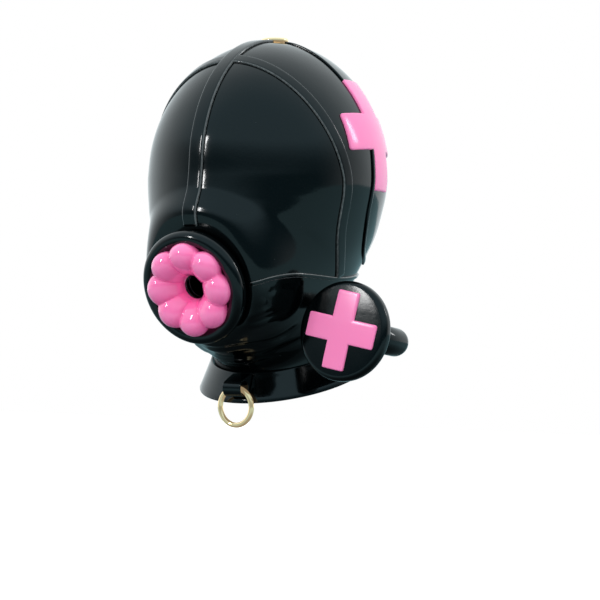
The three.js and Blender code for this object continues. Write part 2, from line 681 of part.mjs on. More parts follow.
const stemRadius = STEM_WIDTH / 2;
const stemBack = CAP_THICKNESS + BOND_GAP + STEM_LENGTH;
const stem = turned(
  [
    ...arc(0, stemRadius - stemBack, stemRadius, -QUARTER_TURN, 0, 5),
    new THREE.Vector2(stemRadius, -CAP_THICKNESS - BOND_GAP),
    new THREE.Vector2(0, -CAP_THICKNESS - BOND_GAP),
  ],
  SMALL_SIDES,
);
add("stopper_stem", BLACK_RUBBER, solidOf(stem.applyMatrix4(capFrame)));

hood.position.set(0, -CROWN_SET, -(CROWN_RISE - WALL));

export default hood;
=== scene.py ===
import json
import math

import bmesh
import bpy
import numpy as np
from mathutils import Matrix, Vector
from mathutils.bvhtree import BVHTree
from mathutils.interpolate import poly_3d_calc


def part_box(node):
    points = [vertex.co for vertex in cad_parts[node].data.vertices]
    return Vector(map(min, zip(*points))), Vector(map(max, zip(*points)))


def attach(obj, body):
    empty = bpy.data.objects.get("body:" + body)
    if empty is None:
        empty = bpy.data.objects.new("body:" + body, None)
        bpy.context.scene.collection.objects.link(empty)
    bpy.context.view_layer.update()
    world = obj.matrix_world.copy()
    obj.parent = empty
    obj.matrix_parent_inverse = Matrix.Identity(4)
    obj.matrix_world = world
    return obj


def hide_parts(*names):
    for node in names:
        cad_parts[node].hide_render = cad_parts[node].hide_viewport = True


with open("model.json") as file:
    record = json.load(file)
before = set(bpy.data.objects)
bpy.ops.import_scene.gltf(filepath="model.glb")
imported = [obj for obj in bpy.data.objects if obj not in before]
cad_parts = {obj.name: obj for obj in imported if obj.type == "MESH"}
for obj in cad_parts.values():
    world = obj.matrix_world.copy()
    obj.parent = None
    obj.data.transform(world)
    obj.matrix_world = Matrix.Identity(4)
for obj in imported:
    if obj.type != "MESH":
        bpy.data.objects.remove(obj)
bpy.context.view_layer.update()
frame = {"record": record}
scene = bpy.context.scene

# Camera
# The hood is seen from the wearer's left front, level with the face, through a long lens. Places are
# measured from the middle of the head, in metres.
HEAD_MIDDLE = Vector((0, -0.011, -0.0949))
VIEW_TURN = math.radians(32)
VIEW_RISE = math.radians(1)
VIEW_DISTANCE = 1.8
VIEW_LENS = 153
SIDEWAYS = 0.02365
DOWNWARDS = 0.0861


def looking(turn, rise):
    """The right, up and back directions of someone who looks at the head from turn and rise."""
    right = Vector((math.cos(turn), math.sin(turn), 0))
    back = Vector((math.sin(turn) * math.cos(rise), -math.cos(turn) * math.cos(rise), math.sin(rise)))
    return right, back.cross(right), back


def standing(axes, place):
    """A frame whose three axes are given, at a place."""
    return Matrix.Translation(place) @ Matrix(axes).transposed().to_4x4()


view_axes = looking(VIEW_TURN, VIEW_RISE)
camera = bpy.data.objects.new("camera", bpy.data.cameras.new("camera"))
camera.data.lens = VIEW_LENS
camera.data.clip_end = 50
view_right, view_up, view_back = view_axes
camera_place = HEAD_MIDDLE + view_right * SIDEWAYS - view_up * DOWNWARDS + view_back * VIEW_DISTANCE
camera.matrix_world = standing(view_axes, camera_place)
scene.collection.objects.link(camera)
scene.camera = camera

# Studio
# A white room with a pale floor well below the hood, a dim front and soft lights to both sides, as
# polished black rubber is pictured. Seen directly, both are white; mirrored in the rubber, they are dim.
FLOOR_LEVEL = -0.62
FLOOR_SPAN = 9
FLOOR_PAINT = (0.9, 0.9, 0.9, 1)
FLOOR_NEAR = (0.03, 0.04, 0.045, 1)
FLOOR_FAR = (0.24, 0.42, 0.46, 1)
ROOM_FRONT = (0.055, 0.12, 0.145, 1)
ROOM_CEILING = (0.36, 0.56, 0.64, 1)
ROOM_BACK = (0.95, 1.05, 1.08, 1)
ROOM_SOFT = (1.25, 1.25, 1.25, 1)
WHITE = (1, 1, 1, 1)
scene.view_settings.view_transform = "Standard"
floor_mesh = bpy.data.meshes.new("floor")
half = FLOOR_SPAN / 2
floor_corners = [(-half, -half), (half, -half), (half, half), (-half, half)]
floor_mesh.from_pydata([(x, y, FLOOR_LEVEL) for x, y in floor_corners], [], [(0, 1, 2, 3)])
floor = bpy.data.objects.new("floor", floor_mesh)
scene.collection.objects.link(floor)


def add_node(tree, kind, inputs=None, **settings):
    """A node in a tree. Each of its inputs is a socket to link from, or a value."""
    node = tree.nodes.new(kind)
    for label, value in settings.items():
        setattr(node, label, value)
    for label, value in (inputs or {}).items():
        if isinstance(value, bpy.types.NodeSocket):
            tree.links.new(value, node.inputs[label])
        else:
            node.inputs[label].default_value = value
    return node


def colour_mix(tree, share, first, second):
    """A node that goes from one colour to another by a share."""
    return add_node(tree, "ShaderNodeMix", {"Factor": share, "A": first, "B": second}, data_type="RGBA")


def shader_mix(tree, share, first, second):
    """The look that goes from one shader to another by a share."""
    return add_node(tree, "ShaderNodeMixShader", {"Fac": share, 1: first, 2: second}).outputs["Shader"]


def eased(tree, value, low, high):
    """A share that eases from 0 at low to 1 at high."""
    inputs = {"Value": value, "From Min": low, "From Max": high}
    return add_node(tree, "ShaderNodeMapRange", inputs, interpolation_type="SMOOTHSTEP").outputs["Result"]


floor_paint = bpy.data.materials.new("floor_paint")
floor_paint.use_nodes = True
floor_tree = floor_paint.node_tree
floor_shader = floor_tree.nodes["Principled BSDF"]
floor_shader.inputs["Base Color"].default_value = FLOOR_PAINT
floor_shader.inputs["Roughness"].default_value = 0.9
floor_shader.inputs["Emission Color"].default_value = WHITE
floor_shader.inputs["Emission Strength"].default_value = 0.5
floor_place = add_node(floor_tree, "ShaderNodeTexCoord").outputs["Object"]
floor_reach = add_node(floor_tree, "ShaderNodeVectorMath", {0: floor_place}, operation="LENGTH")
floor_share = eased(floor_tree, floor_reach.outputs["Value"], 0.55, 1.35)
floor_tone = colour_mix(floor_tree, floor_share, FLOOR_NEAR, FLOOR_FAR)
floor_glow = add_node(floor_tree, "ShaderNodeEmission", {"Color": floor_tone.outputs["Result"]})
floor_eye = add_node(floor_tree, "ShaderNodeLightPath").outputs["Is Camera Ray"]
floor_sides = (floor_glow.outputs["Emission"], floor_shader.outputs["BSDF"])
floor_above = shader_mix(floor_tree, floor_eye, *floor_sides)
floor_side = add_node(floor_tree, "ShaderNodeNewGeometry").outputs["Backfacing"]
floor_clear = add_node(floor_tree, "ShaderNodeBsdfTransparent").outputs["BSDF"]
floor_look = shader_mix(floor_tree, floor_side, floor_above, floor_clear)
floor_tree.links.new(floor_look, floor_tree.nodes["Material Output"].inputs["Surface"])
floor_mesh.materials.append(floor_paint)

room = bpy.data.worlds.new("white_room")
room.use_nodes = True
scene.world = room
room_tree = room.node_tree
room_tree.nodes.clear()
toward = add_node(room_tree, "ShaderNodeTexCoord").outputs["Generated"]
to_front = (view_back.x, view_back.y, 0)
frontness = add_node(room_tree, "ShaderNodeVectorMath", {0: toward, 1: to_front}, operation="DOT_PRODUCT")
front_share = eased(room_tree, frontness.outputs["Value"], -0.8, 0.55)
height = add_node(room_tree, "ShaderNodeSeparateXYZ", {0: toward})
ceiling_share = eased(room_tree, height.outputs["Z"], 0.12, 0.5)
front_tone = colour_mix(room_tree, ceiling_share, ROOM_FRONT, ROOM_CEILING)
room_tone = colour_mix(room_tree, front_share, ROOM_BACK, front_tone.outputs["Result"])
rays = add_node(room_tree, "ShaderNodeLightPath")
all_tone = colour_mix(room_tree, rays.outputs["Is Diffuse Ray"], room_tone.outputs["Result"], ROOM_SOFT)
lit_room = add_node(room_tree, "ShaderNodeBackground", {"Color": all_tone.outputs["Result"]})
seen_room = add_node(room_tree, "ShaderNodeBackground", {"Color": WHITE})
room_sides = (lit_room.outputs["Background"], seen_room.outputs["Background"])
room_look = shader_mix(room_tree, rays.outputs["Is Camera Ray"], *room_sides)
add_node(room_tree, "ShaderNodeOutputWorld", {"Surface": room_look})


def softbox(name, turn, rise, distance, size, power):
    """A soft light aimed at the head. Turn counts from the camera, in degrees, to its right."""
    light = bpy.data.lights.new(name, "AREA")
    light.shape = "RECTANGLE"
    light.size, light.size_y = size
    light.energy = power
    stand = bpy.data.objects.new(name, light)
    axes = looking(VIEW_TURN + math.radians(turn), math.radians(rise))
    stand.matrix_world = standing(axes, HEAD_MIDDLE + axes[2] * distance)
    scene.collection.objects.link(stand)


softbox("left_light", -57, 20, 1.7, (0.08, 0.42), 3.3)
softbox("right_light", 104, 24, 1.8, (0.12, 0.4), 1.6)

# Hood skin
# One close-fitting skin of polished black latex over the head, face and neck, dipped or glued from
# panels. It is stretched flat behind the muzzle and gathers in small folds under the jaw.
WALL = 0.0016
HEAD_BREADTH = 0.1625
BROW_REACH = 0.0885
OCCIPUT_REACH = 0.0945
CROWN_RISE = 0.0965
CROWN_SET = 0.011
CHIN_DROP = 0.125
NECK_BREADTH = 0.101
NECK_DEPTH = 0.1
NECK_SET = 0.024
HEM_DROP = 0.1435
HEM_LEAN = math.radians(19)
CROWN_DOME = {"front": 0.9, "side": 1.1, "back": 0.85}
CROWN_STEPS = 6
FACE_ROWS = [
    dict(at="ears", front=(1.0, 0.0), side=(1.0, 0.03, 0.0), back=(1.0, 0.0), full=0.02),
    dict(at="eyes", front=(1.03, 0.12), side=(0.985, 0.03, 0.1), back=(0.995, 0.09), full=0.0),
    dict(at="nose", front=(1.09, 0.27), side=(0.935, 0.04, 0.23), back=(0.975, 0.19), full=-0.05),
    dict(at="lips", front=(1.0, 0.48), side=(0.865, 0.04, 0.37), back=(0.965, 0.3), full=-0.06),
    dict(at="mouth", front=(0.9, 0.71), side=(0.78, 0.03, 0.51), back=(0.9, 0.42), full=-0.08),
    dict(at="chin", front=(0.8, 0.91), side=(0.71, 0.05, 0.63), back=(0.78, 0.53), full=-0.12),
    dict(at="under chin", front=(0.68, 1.0), side=(0.66, 0.1, 0.71), back=(0.72, 0.62), full=-0.14),
]
NECK_ROWS = [
    dict(at="crease", front=(1.2, 0.28), side=(1.06, -0.16, 0.26), back=(1.02, 0.27), full=-0.06),
    dict(at="throat", front=(1.03, 0.55), side=(1.0, -0.04, 0.6), back=(1.0, 0.62), full=0.0),
    dict(at="hem", front=(1.0, 1.0), side=(1.0, 0.0, 1.0), back=(1.0, 1.0), full=0.0),
]
TO_PART = np.array((0, -CROWN_SET, -(CROWN_RISE - WALL)))
MUZZLE_PITCH = math.radians(15.7)
MUZZLE_SETBACK = 0.0055
MUZZLE_DROP = 0.0741
MUZZLE_OUTER = 0.08
MUZZLE_BLEND = 0.026
BORE = 0.018
GLUE_GAP = 0.00035
BARREL_GAP = 0.00575 + GLUE_GAP
CHIN_TUCK = 0.0032
TUCK_TOP = (0.196, 0.208)
TUCK_BOTTOM = (0.208, 0.226)
TUCK_FRONT = (0.05, 0.085)
CHIN_LIFT = 0.0055
LIFT_DEPTH = (0.204, 0.221)
LIFT_FRONT = (0.05, 0.064)
FOLD_SHOULDER = 0.28
FOLD_SHOULDER_OUT = 2.2
FOLD_STEP = 0.002
FOLD_STARTS_BY = 0.25
FOLD_FADES_FROM = 0.7
FLAT_RING = 0.001
BORE_REACH = 0.01
SKIN_STEPS = 196
SKIN_SIDES = 232
muzzle_axis = np.array((0, -math.cos(MUZZLE_PITCH), -math.sin(MUZZLE_PITCH)))
muzzle_seat = np.array((0, MUZZLE_SETBACK - BROW_REACH, -MUZZLE_DROP)) + TO_PART


def guide_rows():
    """Front, side and back points of each row, down from the crown, from the middle of the head."""
    rows = []
    for step in range(CROWN_STEPS):
        angle = step / CROWN_STEPS * math.pi / 2
        rise = CROWN_RISE * math.cos(angle)
        out = {line: math.sin(angle) ** dome for line, dome in CROWN_DOME.items()}
        middle = CROWN_SET * (1 - math.sin(angle))
        ears = FACE_ROWS[0]["side"][1] * OCCIPUT_REACH * math.sin(angle)
        front = (0, middle - BROW_REACH * out["front"], rise)
        side = (HEAD_BREADTH / 2 * out["side"], middle + ears, rise)
        rows.append((front, side, (0, middle + OCCIPUT_REACH * out["back"], rise), 0))
    for row in FACE_ROWS:
        front = (0, -row["front"][0] * BROW_REACH, -row["front"][1] * CHIN_DROP)
        reach, behind, drop = row["side"]
        side = (reach * HEAD_BREADTH / 2, behind * OCCIPUT_REACH, -drop * CHIN_DROP)
        back = (0, row["back"][0] * OCCIPUT_REACH, -row["back"][1] * CHIN_DROP)
        rows.append((front, side, back, row["full"]))
    under = FACE_ROWS[-1]
    slope = math.tan(HEM_LEAN)

    def drop_to(share, start, end):
        return -(start * CHIN_DROP * (1 - share) + end * share)

    for row in NECK_ROWS:
        front_drop = drop_to(row["front"][1], under["front"][1], HEM_DROP)
        side_drop = drop_to(row["side"][2], under["side"][2], HEM_DROP - NECK_DEPTH / 2 * slope)
        back_drop = drop_to(row["back"][1], under["back"][1], HEM_DROP - NECK_DEPTH * slope)
        front = (0, NECK_SET - row["front"][0] * NECK_DEPTH / 2, front_drop)
        side = (row["side"][0] * NECK_BREADTH / 2, NECK_SET + row["side"][1] * NECK_DEPTH / 2, side_drop)
        rows.append((front, side, (0, NECK_SET + row["back"][0] * NECK_DEPTH / 2, back_drop), row["full"]))
    return rows


ROWS = guide_rows()
GUIDES = [np.array([row[line] for row in ROWS], float) for line in range(3)]


def along_curve(points, share):
    """A point on the smooth curve through points, by its share of the way along them."""
    last = len(points) - 1
    place = min(max(share, 0), 1) * last
    start = min(int(place), last - 1)
    t = place - start
    before = points[start - 1] if start else 2 * points[0] - points[1]
    beyond = points[start + 2] if start + 2 <= last else 2 * points[last] - points[last - 1]
    run = [before, points[start], points[start + 1], beyond]
    gaps = [np.linalg.norm(run[k + 1] - run[k]) ** 0.5 for k in range(3)]
    lean_in = (run[1] - run[0]) / gaps[0] - (run[2] - run[0]) / (gaps[0] + gaps[1])
    lean_out = (run[2] - run[1]) / gaps[1] - (run[3] - run[1]) / (gaps[1] + gaps[2])
    first = (lean_in + (run[2] - run[1]) / gaps[1]) * gaps[1]
    second = (lean_out + (run[3] - run[2]) / gaps[2]) * gaps[1]
    rise = -3 * run[1] + 3 * run[2] - 2 * first - second
    return run[1] + first * t + rise * t**2 + (2 * run[1] - 2 * run[2] + first + second) * t**3


def smooth(value, low, high):
    """A share that eases from 0 at low to 1 at high."""
    share = np.clip((value - low) / (high - low), 0, 1)
    return share * share * (3 - 2 * share)


def over_muzzle(points):
    """Pulls the skin onto the muzzle's flat back and lets it run back into the face around it."""
    away = points - muzzle_seat
    along = away @ muzzle_axis
    aside = np.linalg.norm(away - along[:, None] * muzzle_axis, axis=1)
    near = 1 - smooth(aside, MUZZLE_OUTER / 2, MUZZLE_OUTER / 2 + MUZZLE_BLEND)
    near = near * smooth(along, -MUZZLE_OUTER, -MUZZLE_OUTER / 2)
    return points + (near * (-GLUE_GAP - along))[:, None] * muzzle_axis


def skin_ring(share, turns):
    """Points round the outer skin. Turn 0 is the left ear and a quarter turn is the back."""
    front, side, back = (along_curve(guide, share) for guide in GUIDES)
    place = min(max(share, 0), 1) * (len(ROWS) - 1)
    row = min(int(place), len(ROWS) - 2)
    full = ROWS[row][3] + (ROWS[row + 1][3] - ROWS[row][3]) * (place - row)
    backward = np.sin(turns)
    reach = np.where(backward < 0, side[1] - front[1], back[1] - side[1])
    y = side[1] + reach * backward
    x = side[0] * np.cos(turns) * (1 + np.where(backward < 0, full, 0) * backward**2)
    level = np.full_like(y, front[2])
    if abs(front[1] - back[1]) > FLAT_RING:
        near_front = (y - side[1]) * (y - back[1]) / ((front[1] - side[1]) * (front[1] - back[1]))
        near_side = (y - front[1]) * (y - back[1]) / ((side[1] - front[1]) * (side[1] - back[1]))
        near_back = (y - front[1]) * (y - side[1]) / ((back[1] - front[1]) * (back[1] - side[1]))
        level = near_front * front[2] + near_side * side[2] + near_back * back[2]
    return over_muzzle(np.stack([x, y, level], axis=1) + TO_PART)


def share_where(low, high, passes):
    """The share between two shares at which the skin first passes a test."""
    for _ in range(30):
        middle = (low + high) / 2
        low, high = (low, middle) if passes(middle) else (middle, high)
    return high


def even_path(points, step):
    """Resamples a path of points at even steps along it."""
    points = np.array(points)
    run = np.concatenate([[0], np.cumsum(np.linalg.norm(np.diff(points, axis=0), axis=1))])
    places = np.linspace(0, run[-1], max(int(run[-1] / step), 2) + 1)
    return np.stack([np.interp(places, run, points[:, k]) for k in range(3)], axis=1)


def grid_normals(grid):
    """Outward normals of a grid of points whose rows run down and whose columns close round."""
    down = np.gradient(grid, axis=0)
    around = np.roll(grid, -1, axis=1) - np.roll(grid, 1, axis=1)
    out = np.cross(down, around)
    return out / np.linalg.norm(out, axis=2, keepdims=True)


def grid_faces(rows, sides, loops=False):
    """Quads of a grid whose columns close round, facing out where rows run down."""
    bands = rows if loops else rows - 1
    faces = []
    for row in range(bands):
        for side in range(sides):
            below = (row + 1) % rows * sides
            after = (side + 1) % sides
            faces.append((row * sides + side, below + side, below + after, row * sides + after))
    return faces


all_turns = np.linspace(0, 2 * math.pi, SKIN_SIDES, endpoint=False)
first_share = share_where(0, 0.1, lambda share: skin_ring(share, np.zeros(1))[0][0] >= BARREL_GAP)
skin_shares = first_share + (1 - first_share) * np.linspace(0, 1, SKIN_STEPS + 1)
skin_grid = np.array([skin_ring(share, all_turns) for share in skin_shares])
lifted = smooth(-skin_grid[..., 2], *LIFT_DEPTH) * smooth(-skin_grid[..., 1], *LIFT_FRONT)
skin_grid[..., 2] += CHIN_LIFT * lifted
skin_faces = grid_faces(SKIN_STEPS + 1, SKIN_SIDES)
smooth_tree = BVHTree.FromPolygons([Vector(p) for p in skin_grid.reshape(-1, 3)], skin_faces)


# Folds run through places on the left of the skin, in millimetres, and are mirrored on the right
FOLDS = [
    dict(name="under the chin", depth=1.6, width=2.3, points=[
        (-2, -73, -215), (11, -72, -213.5), (22, -66, -211), (31, -58, -207.5), (39, -49, -203.9),
        (47, -39, -194.9),
    ]),
    dict(name="throat", depth=0.9, width=2.6, points=[
        (0, -61, -226), (16, -57, -222.5), (29, -46, -216), (40, -31, -207), (47, -14, -200),
    ]),
    dict(name="neck side", depth=0.8, width=2.8, points=[
        (44, -8, -213), (49.5, 8, -207), (50, 26, -202), (44, 44, -197),
    ]),
    dict(name="jaw", depth=1.1, width=2.4, points=[
        (40.4, -100.9, -208.8), (49.2, -93.1, -204.8), (57.8, -84.1, -200.9), (67.8, -69.7, -195),
    ]),
    dict(name="cheek", depth=0.9, width=2.0, points=[
        (60.4, -76.5, -171.2), (64.1, -71.5, -170.5), (67.9, -64.9, -171.5), (71.7, -58.8, -174),
    ]),
    dict(name="beside the mouth", depth=0.5, width=2.1, points=[
        (57, -81.7, -172.8), (54.9, -85.2, -179.2),
    ]),
    dict(name="below the mouth", depth=0.5, width=2.1, points=[
        (52.6, -88.5, -186.1), (58.2, -83.5, -189.5),
    ]),
    dict(name="between them", depth=0.5, width=2.1, points=[
        (52.9, -87.1, -178.6), (57.9, -83.1, -185.1),
    ]),
]


def fold_depth(points):
    """How far the folds and the tuck below the muzzle press each point of the skin inwards."""
    left = points.copy()
    left[:, 0] = np.abs(left[:, 0])
    total = np.zeros(len(points))
    for fold in FOLDS:
        line = even_path(np.array(fold["points"]) / 1000, FOLD_STEP)
        line = np.array([smooth_tree.find_nearest(Vector(p))[0] for p in line])
        nearest = np.full(len(points), 1.0)
        fade = np.ones(len(points))
        for step in range(len(line) - 1):
            way = line[step + 1] - line[step]
            t = np.clip((left - line[step]) @ way / (way @ way), 0, 1)
            gap = np.linalg.norm(left - line[step] - t[:, None] * way, axis=1)
            closer = gap < nearest
            nearest = np.where(closer, gap, nearest)
            share = (step + t) / (len(line) - 1)
            ends = smooth(share, 0, FOLD_STARTS_BY) if line[0][0] > 0.01 else np.ones(len(points))
            fade = np.where(closer, ends * (1 - smooth(share, FOLD_FADES_FROM, 1)), fade)
        width = fold["width"] / 1000
        groove = np.exp(-((nearest / width) ** 2))
        shoulder = np.exp(-(((nearest - FOLD_SHOULDER_OUT * width) / width) ** 2))
        total += fold["depth"] / 1000 * fade * (groove - FOLD_SHOULDER * shoulder)
    depth_below = -points[:, 2]
    tuck = smooth(depth_below, *TUCK_TOP) * (1 - smooth(depth_below, *TUCK_BOTTOM))
    return total + CHIN_TUCK * tuck * smooth(-points[:, 1], *TUCK_FRONT)


skin_out = grid_normals(skin_grid)
pressed = fold_depth(skin_grid.reshape(-1, 3)).reshape(skin_grid.shape[:2])
skin_grid = skin_grid - skin_out * pressed[:, :, None]
skin_out = grid_normals(skin_grid)
skin_points = [Vector(p) for p in skin_grid.reshape(-1, 3)]
skin_normals = [Vector(n) for n in skin_out.reshape(-1, 3)]
skin_tree = BVHTree.FromPolygons(skin_points, skin_faces)


def skin_at(point):
    """The nearest point of the smooth skin, and the way out there."""
    place, _, face, _ = skin_tree.find_nearest(point)
    corners = [(skin_points[k], skin_normals[k]) for k in skin_faces[face]]
    out = Vector()
    lift = Vector()
    for (corner, normal), weight in zip(corners, poly_3d_calc([corner for corner, _ in corners], place)):
        out += normal * weight
        lift += normal * (corner - place).dot(normal) * weight
    return place + lift, out.normalized()


def new_piece(name, points, faces, material, slot, replaced, body="hood"):
    """A smooth-shaded piece that takes the place of its CAD nodes and moves with their body."""
    mesh = bpy.data.meshes.new(name)
    mesh.from_pydata([tuple(p) for p in points], [], faces)
    mesh.validate()
    mesh.polygons.foreach_set("use_smooth", [True] * len(mesh.polygons))
    mesh.materials.append(material)
    piece = bpy.data.objects.new(name, mesh)
    scene.collection.objects.link(piece)
    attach(piece, body)
    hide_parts(*replaced)
    return piece


def tidy_normals(piece):
    """Turns every face of a closed piece outwards."""
    closed_mesh = bmesh.new()
    closed_mesh.from_mesh(piece.data)
    bmesh.ops.remove_doubles(closed_mesh, verts=closed_mesh.verts, dist=1e-7)
    bmesh.ops.recalc_face_normals(closed_mesh, faces=closed_mesh.faces)
    closed_mesh.to_mesh(piece.data)
    closed_mesh.free()


def solid_piece(*described, **options):
    """A new piece that is closed, with all its faces turned outwards."""
    piece = new_piece(*described, **options)
    tidy_normals(piece)
    return piece


def point_mask(piece, name, values):
    """Marks each point of a piece with a value that its material reads."""
    piece.data.attributes.new(name, "FLOAT", "POINT").data.foreach_set("value", values)


def shader_group(name, inputs, outputs):
    """An empty shader node group with named sockets, and its input and output nodes."""
    group = bpy.data.node_groups.new(name, "ShaderNodeTree")
    for label, value in inputs.items():
        socket = group.interface.new_socket(label, in_out="INPUT", socket_type="NodeSocketFloat")
        socket.default_value = value
    for label in outputs:
        group.interface.new_socket(label, in_out="OUTPUT", socket_type="NodeSocketFloat")
    return group, group.nodes.new("NodeGroupInput"), group.nodes.new("NodeGroupOutput")


def value_node(tree, operation, first, second):
    """The result of a Math node. Each operand is a socket or a plain number."""
    return add_node(tree, "ShaderNodeMath", {0: first, 1: second}, operation=operation).outputs[0]


# Polished rubber: cloudy smears in the polish, a very shallow orange peel and a few specks of dust
PEEL_HEIGHT = 0.00002
WAVE_HEIGHT = 0.00022
SPECK_REACH = 0.045
polish, polish_in, polish_out = shader_group(
    "polished_rubber",
    {"Roughness": 0.1, "Smear": 0.06, "Peel": 1.0, "Dust": 0.5},
    ["Roughness", "Height", "Dust"],
)
where = add_node(polish, "ShaderNodeTexCoord").outputs["Object"]
cloud = {"Vector": where, "Scale": 26, "Detail": 5, "Distortion": 0.8}
smears = add_node(polish, "ShaderNodeTexNoise", cloud).outputs["Fac"]
smear = value_node(polish, "MULTIPLY", value_node(polish, "SUBTRACT", smears, 0.42), 2.4)
smear = value_node(polish, "MULTIPLY", smear, polish_in.outputs["Smear"])
smear = value_node(polish, "MAXIMUM", smear, 0.0)
peel = add_node(polish, "ShaderNodeTexNoise", {"Vector": where, "Scale": 420, "Detail": 2}).outputs["Fac"]
waves = add_node(polish, "ShaderNodeTexNoise", {"Vector": where, "Scale": 38, "Detail": 1}).outputs["Fac"]
peel_height = value_node(polish, "MULTIPLY", peel, PEEL_HEIGHT)
wave_height = value_node(polish, "MULTIPLY", waves, WAVE_HEIGHT)
relief = value_node(polish, "ADD", peel_height, wave_height)
relief = value_node(polish, "MULTIPLY", relief, polish_in.outputs["Peel"])
specks = add_node(polish, "ShaderNodeTexVoronoi", {"Vector": where, "Scale": 210})
speck = value_node(polish, "LESS_THAN", specks.outputs["Distance"], SPECK_REACH)
speck_pick = add_node(polish, "ShaderNodeSeparateColor", {"Color": specks.outputs["Color"]})
few = value_node(polish, "GREATER_THAN", speck_pick.outputs[0], 0.8)
dust = value_node(polish, "MULTIPLY", value_node(polish, "MULTIPLY", speck, few), polish_in.outputs["Dust"])
dusty = value_node(polish, "MULTIPLY", dust, 0.3)
rough = value_node(polish, "ADD", value_node(polish, "ADD", polish_in.outputs["Roughness"], smear), dusty)
polish.links.new(rough, polish_out.inputs["Roughness"])
polish.links.new(relief, polish_out.inputs["Height"])
polish.links.new(dust, polish_out.inputs["Dust"])


def polished(name, colour, dust_colour, roughness, smear_share, peel_share, dust_share):
    """A material with the polished finish, its shader, and the node that gives its colour."""
    material = bpy.data.materials.new(name)
    material.use_nodes = True
    tree = material.node_tree
    shader = tree.nodes["Principled BSDF"]
    finish = tree.nodes.new("ShaderNodeGroup")
    finish.node_tree = polish
    finish.inputs["Roughness"].default_value = roughness
    finish.inputs["Smear"].default_value = smear_share
    finish.inputs["Peel"].default_value = peel_share
    finish.inputs["Dust"].default_value = dust_share
    tone = colour_mix(tree, finish.outputs["Dust"], (*colour, 1), (*dust_colour, 1))
    bump = add_node(tree, "ShaderNodeBump", {"Distance": 1, "Height": finish.outputs["Height"]})
    tree.links.new(tone.outputs["Result"], shader.inputs["Base Color"])
    tree.links.new(finish.outputs["Roughness"], shader.inputs["Roughness"])
    tree.links.new(bump.outputs["Normal"], shader.inputs["Normal"])
    return material, shader, tone


LATEX = (0.0007, 0.0013, 0.0016)
LATEX_DUST = (0.05, 0.06, 0.065)
# A pale grey painted on the tapes' rounded shoulders is a painted highlight along their edges.
LATEX_EDGE_HIGHLIGHT = (0.2, 0.215, 0.22, 1)
LATEX_IOR = 1.52
black_latex, latex_shader, latex_tone = polished("black_latex", LATEX, LATEX_DUST, 0.09, 0.07, 1.0, 0.6)
latex_shader.inputs["IOR"].default_value = LATEX_IOR
latex_tree = black_latex.node_tree
# Painted highlight: the marked tape shoulders mix towards pale grey, broken up by noise.
edge_highlight_mask = add_node(latex_tree, "ShaderNodeAttribute", attribute_name="painted_edge_highlight").outputs["Fac"]
edge_highlight_noise = add_node(latex_tree, "ShaderNodeTexNoise", {"Scale": 55}).outputs["Fac"]
edge_highlight_share = value_node(latex_tree, "MULTIPLY", edge_highlight_mask, edge_highlight_noise)
edge_highlight_tone = colour_mix(latex_tree, edge_highlight_share, latex_tone.outputs["Result"], LATEX_EDGE_HIGHLIGHT)
latex_tree.links.new(edge_highlight_tone.outputs["Result"], latex_shader.inputs["Base Color"])

skin_nodes = ["hood_half_left", "hood_half_right"]
skin_body = new_piece("hood_skin", skin_points, skin_faces, black_latex, "black_latex", skin_nodes)
bm = bmesh.new()
bm.from_mesh(skin_body.data)
seat = Vector(muzzle_seat)
axis = Vector(muzzle_axis)


def off_axis(point):
    """How a point lies beside the muzzle's axis, and how far along it."""
    away = point - seat
    return away - axis * away.dot(axis), away.dot(axis)


def in_bore(point, radius):
    """Whether a point of the skin lies where the bore goes through it."""
    aside, along = off_axis(point)
    return aside.length < radius and abs(along) < BORE_REACH


bore_faces = [face for face in bm.faces if in_bore(face.calc_center_median(), BORE / 2)]
bmesh.ops.delete(bm, geom=bore_faces, context="FACES")
for vertex in bm.verts:
    if vertex.is_boundary and in_bore(vertex.co, BORE):
        aside, along = off_axis(vertex.co)
        vertex.co = seat + axis * along + aside.normalized() * (BORE / 2)
bmesh.ops.recalc_face_normals(bm, faces=bm.faces)
bm.to_mesh(skin_body.data)
bm.free()
if skin_body.data.polygons[0].normal.z < 0:
    skin_body.data.flip_normals()
wall = skin_body.modifiers.new("wall", "SOLIDIFY")
wall.thickness = WALL
wall.offset = -1

# Glued tapes and seams
# Flat latex tapes cover the joins between the hood's panels: a broad one down the middle of the face,
# one down each temple, and narrow lapped seams over the crown, under the ears and round the jaw.
TAPE_THICKNESS = 0.0015
SEAM_THICKNESS = 0.0013
CENTRE_WIDTH = 0.011
TEMPLE_WIDTH = 0.0084
SEAM_WIDTH = 0.003
TAPE_STEP = 0.0016
TAPE_LAP = 0.00035
TAPE_SINK = 0.0003
TAPE_FACET = 0.0015
EDGE_STEPS = 3
MUZZLE_CLEAR = MUZZLE_OUTER / 2 + 0.001
MUZZLE_BEHIND = 0.03
EYELET_CLEAR = 0.0101
CAST_FROM = 0.2
MIDDLE_SLACK = 0.0002
GUIDE_STEPS = 6000


def smoothed(points, passes):
    """Takes the small unevenness out of a path, and leaves its ends."""
    for _ in range(passes):
        points[1:-1] = points[1:-1] * 0.5 + (points[:-2] + points[2:]) * 0.25
    return points


def tape_section(width, thickness):
    """A flat tape's section with rounded edges, as [aside, height], round from its left edge."""
    edge = min(thickness * 0.55, width * 0.3)
    shoulder = []
    for step in range(EDGE_STEPS + 1):
        angle = step / EDGE_STEPS * math.pi / 2
        aside = width / 2 - edge * (1 - math.cos(angle))
        shoulder.append((aside, thickness - edge * (1 - math.sin(angle))))
    across = max(int(width / TAPE_FACET), 2)
    face = [((step / across - 0.5) * (width - 2 * edge), thickness) for step in range(1, across)]
    left = [(-width / 2, -TAPE_SINK), *((-aside, height_there) for aside, height_there in shoulder)]
    return [*left, *face, *reversed(shoulder), (width / 2, -TAPE_SINK)]


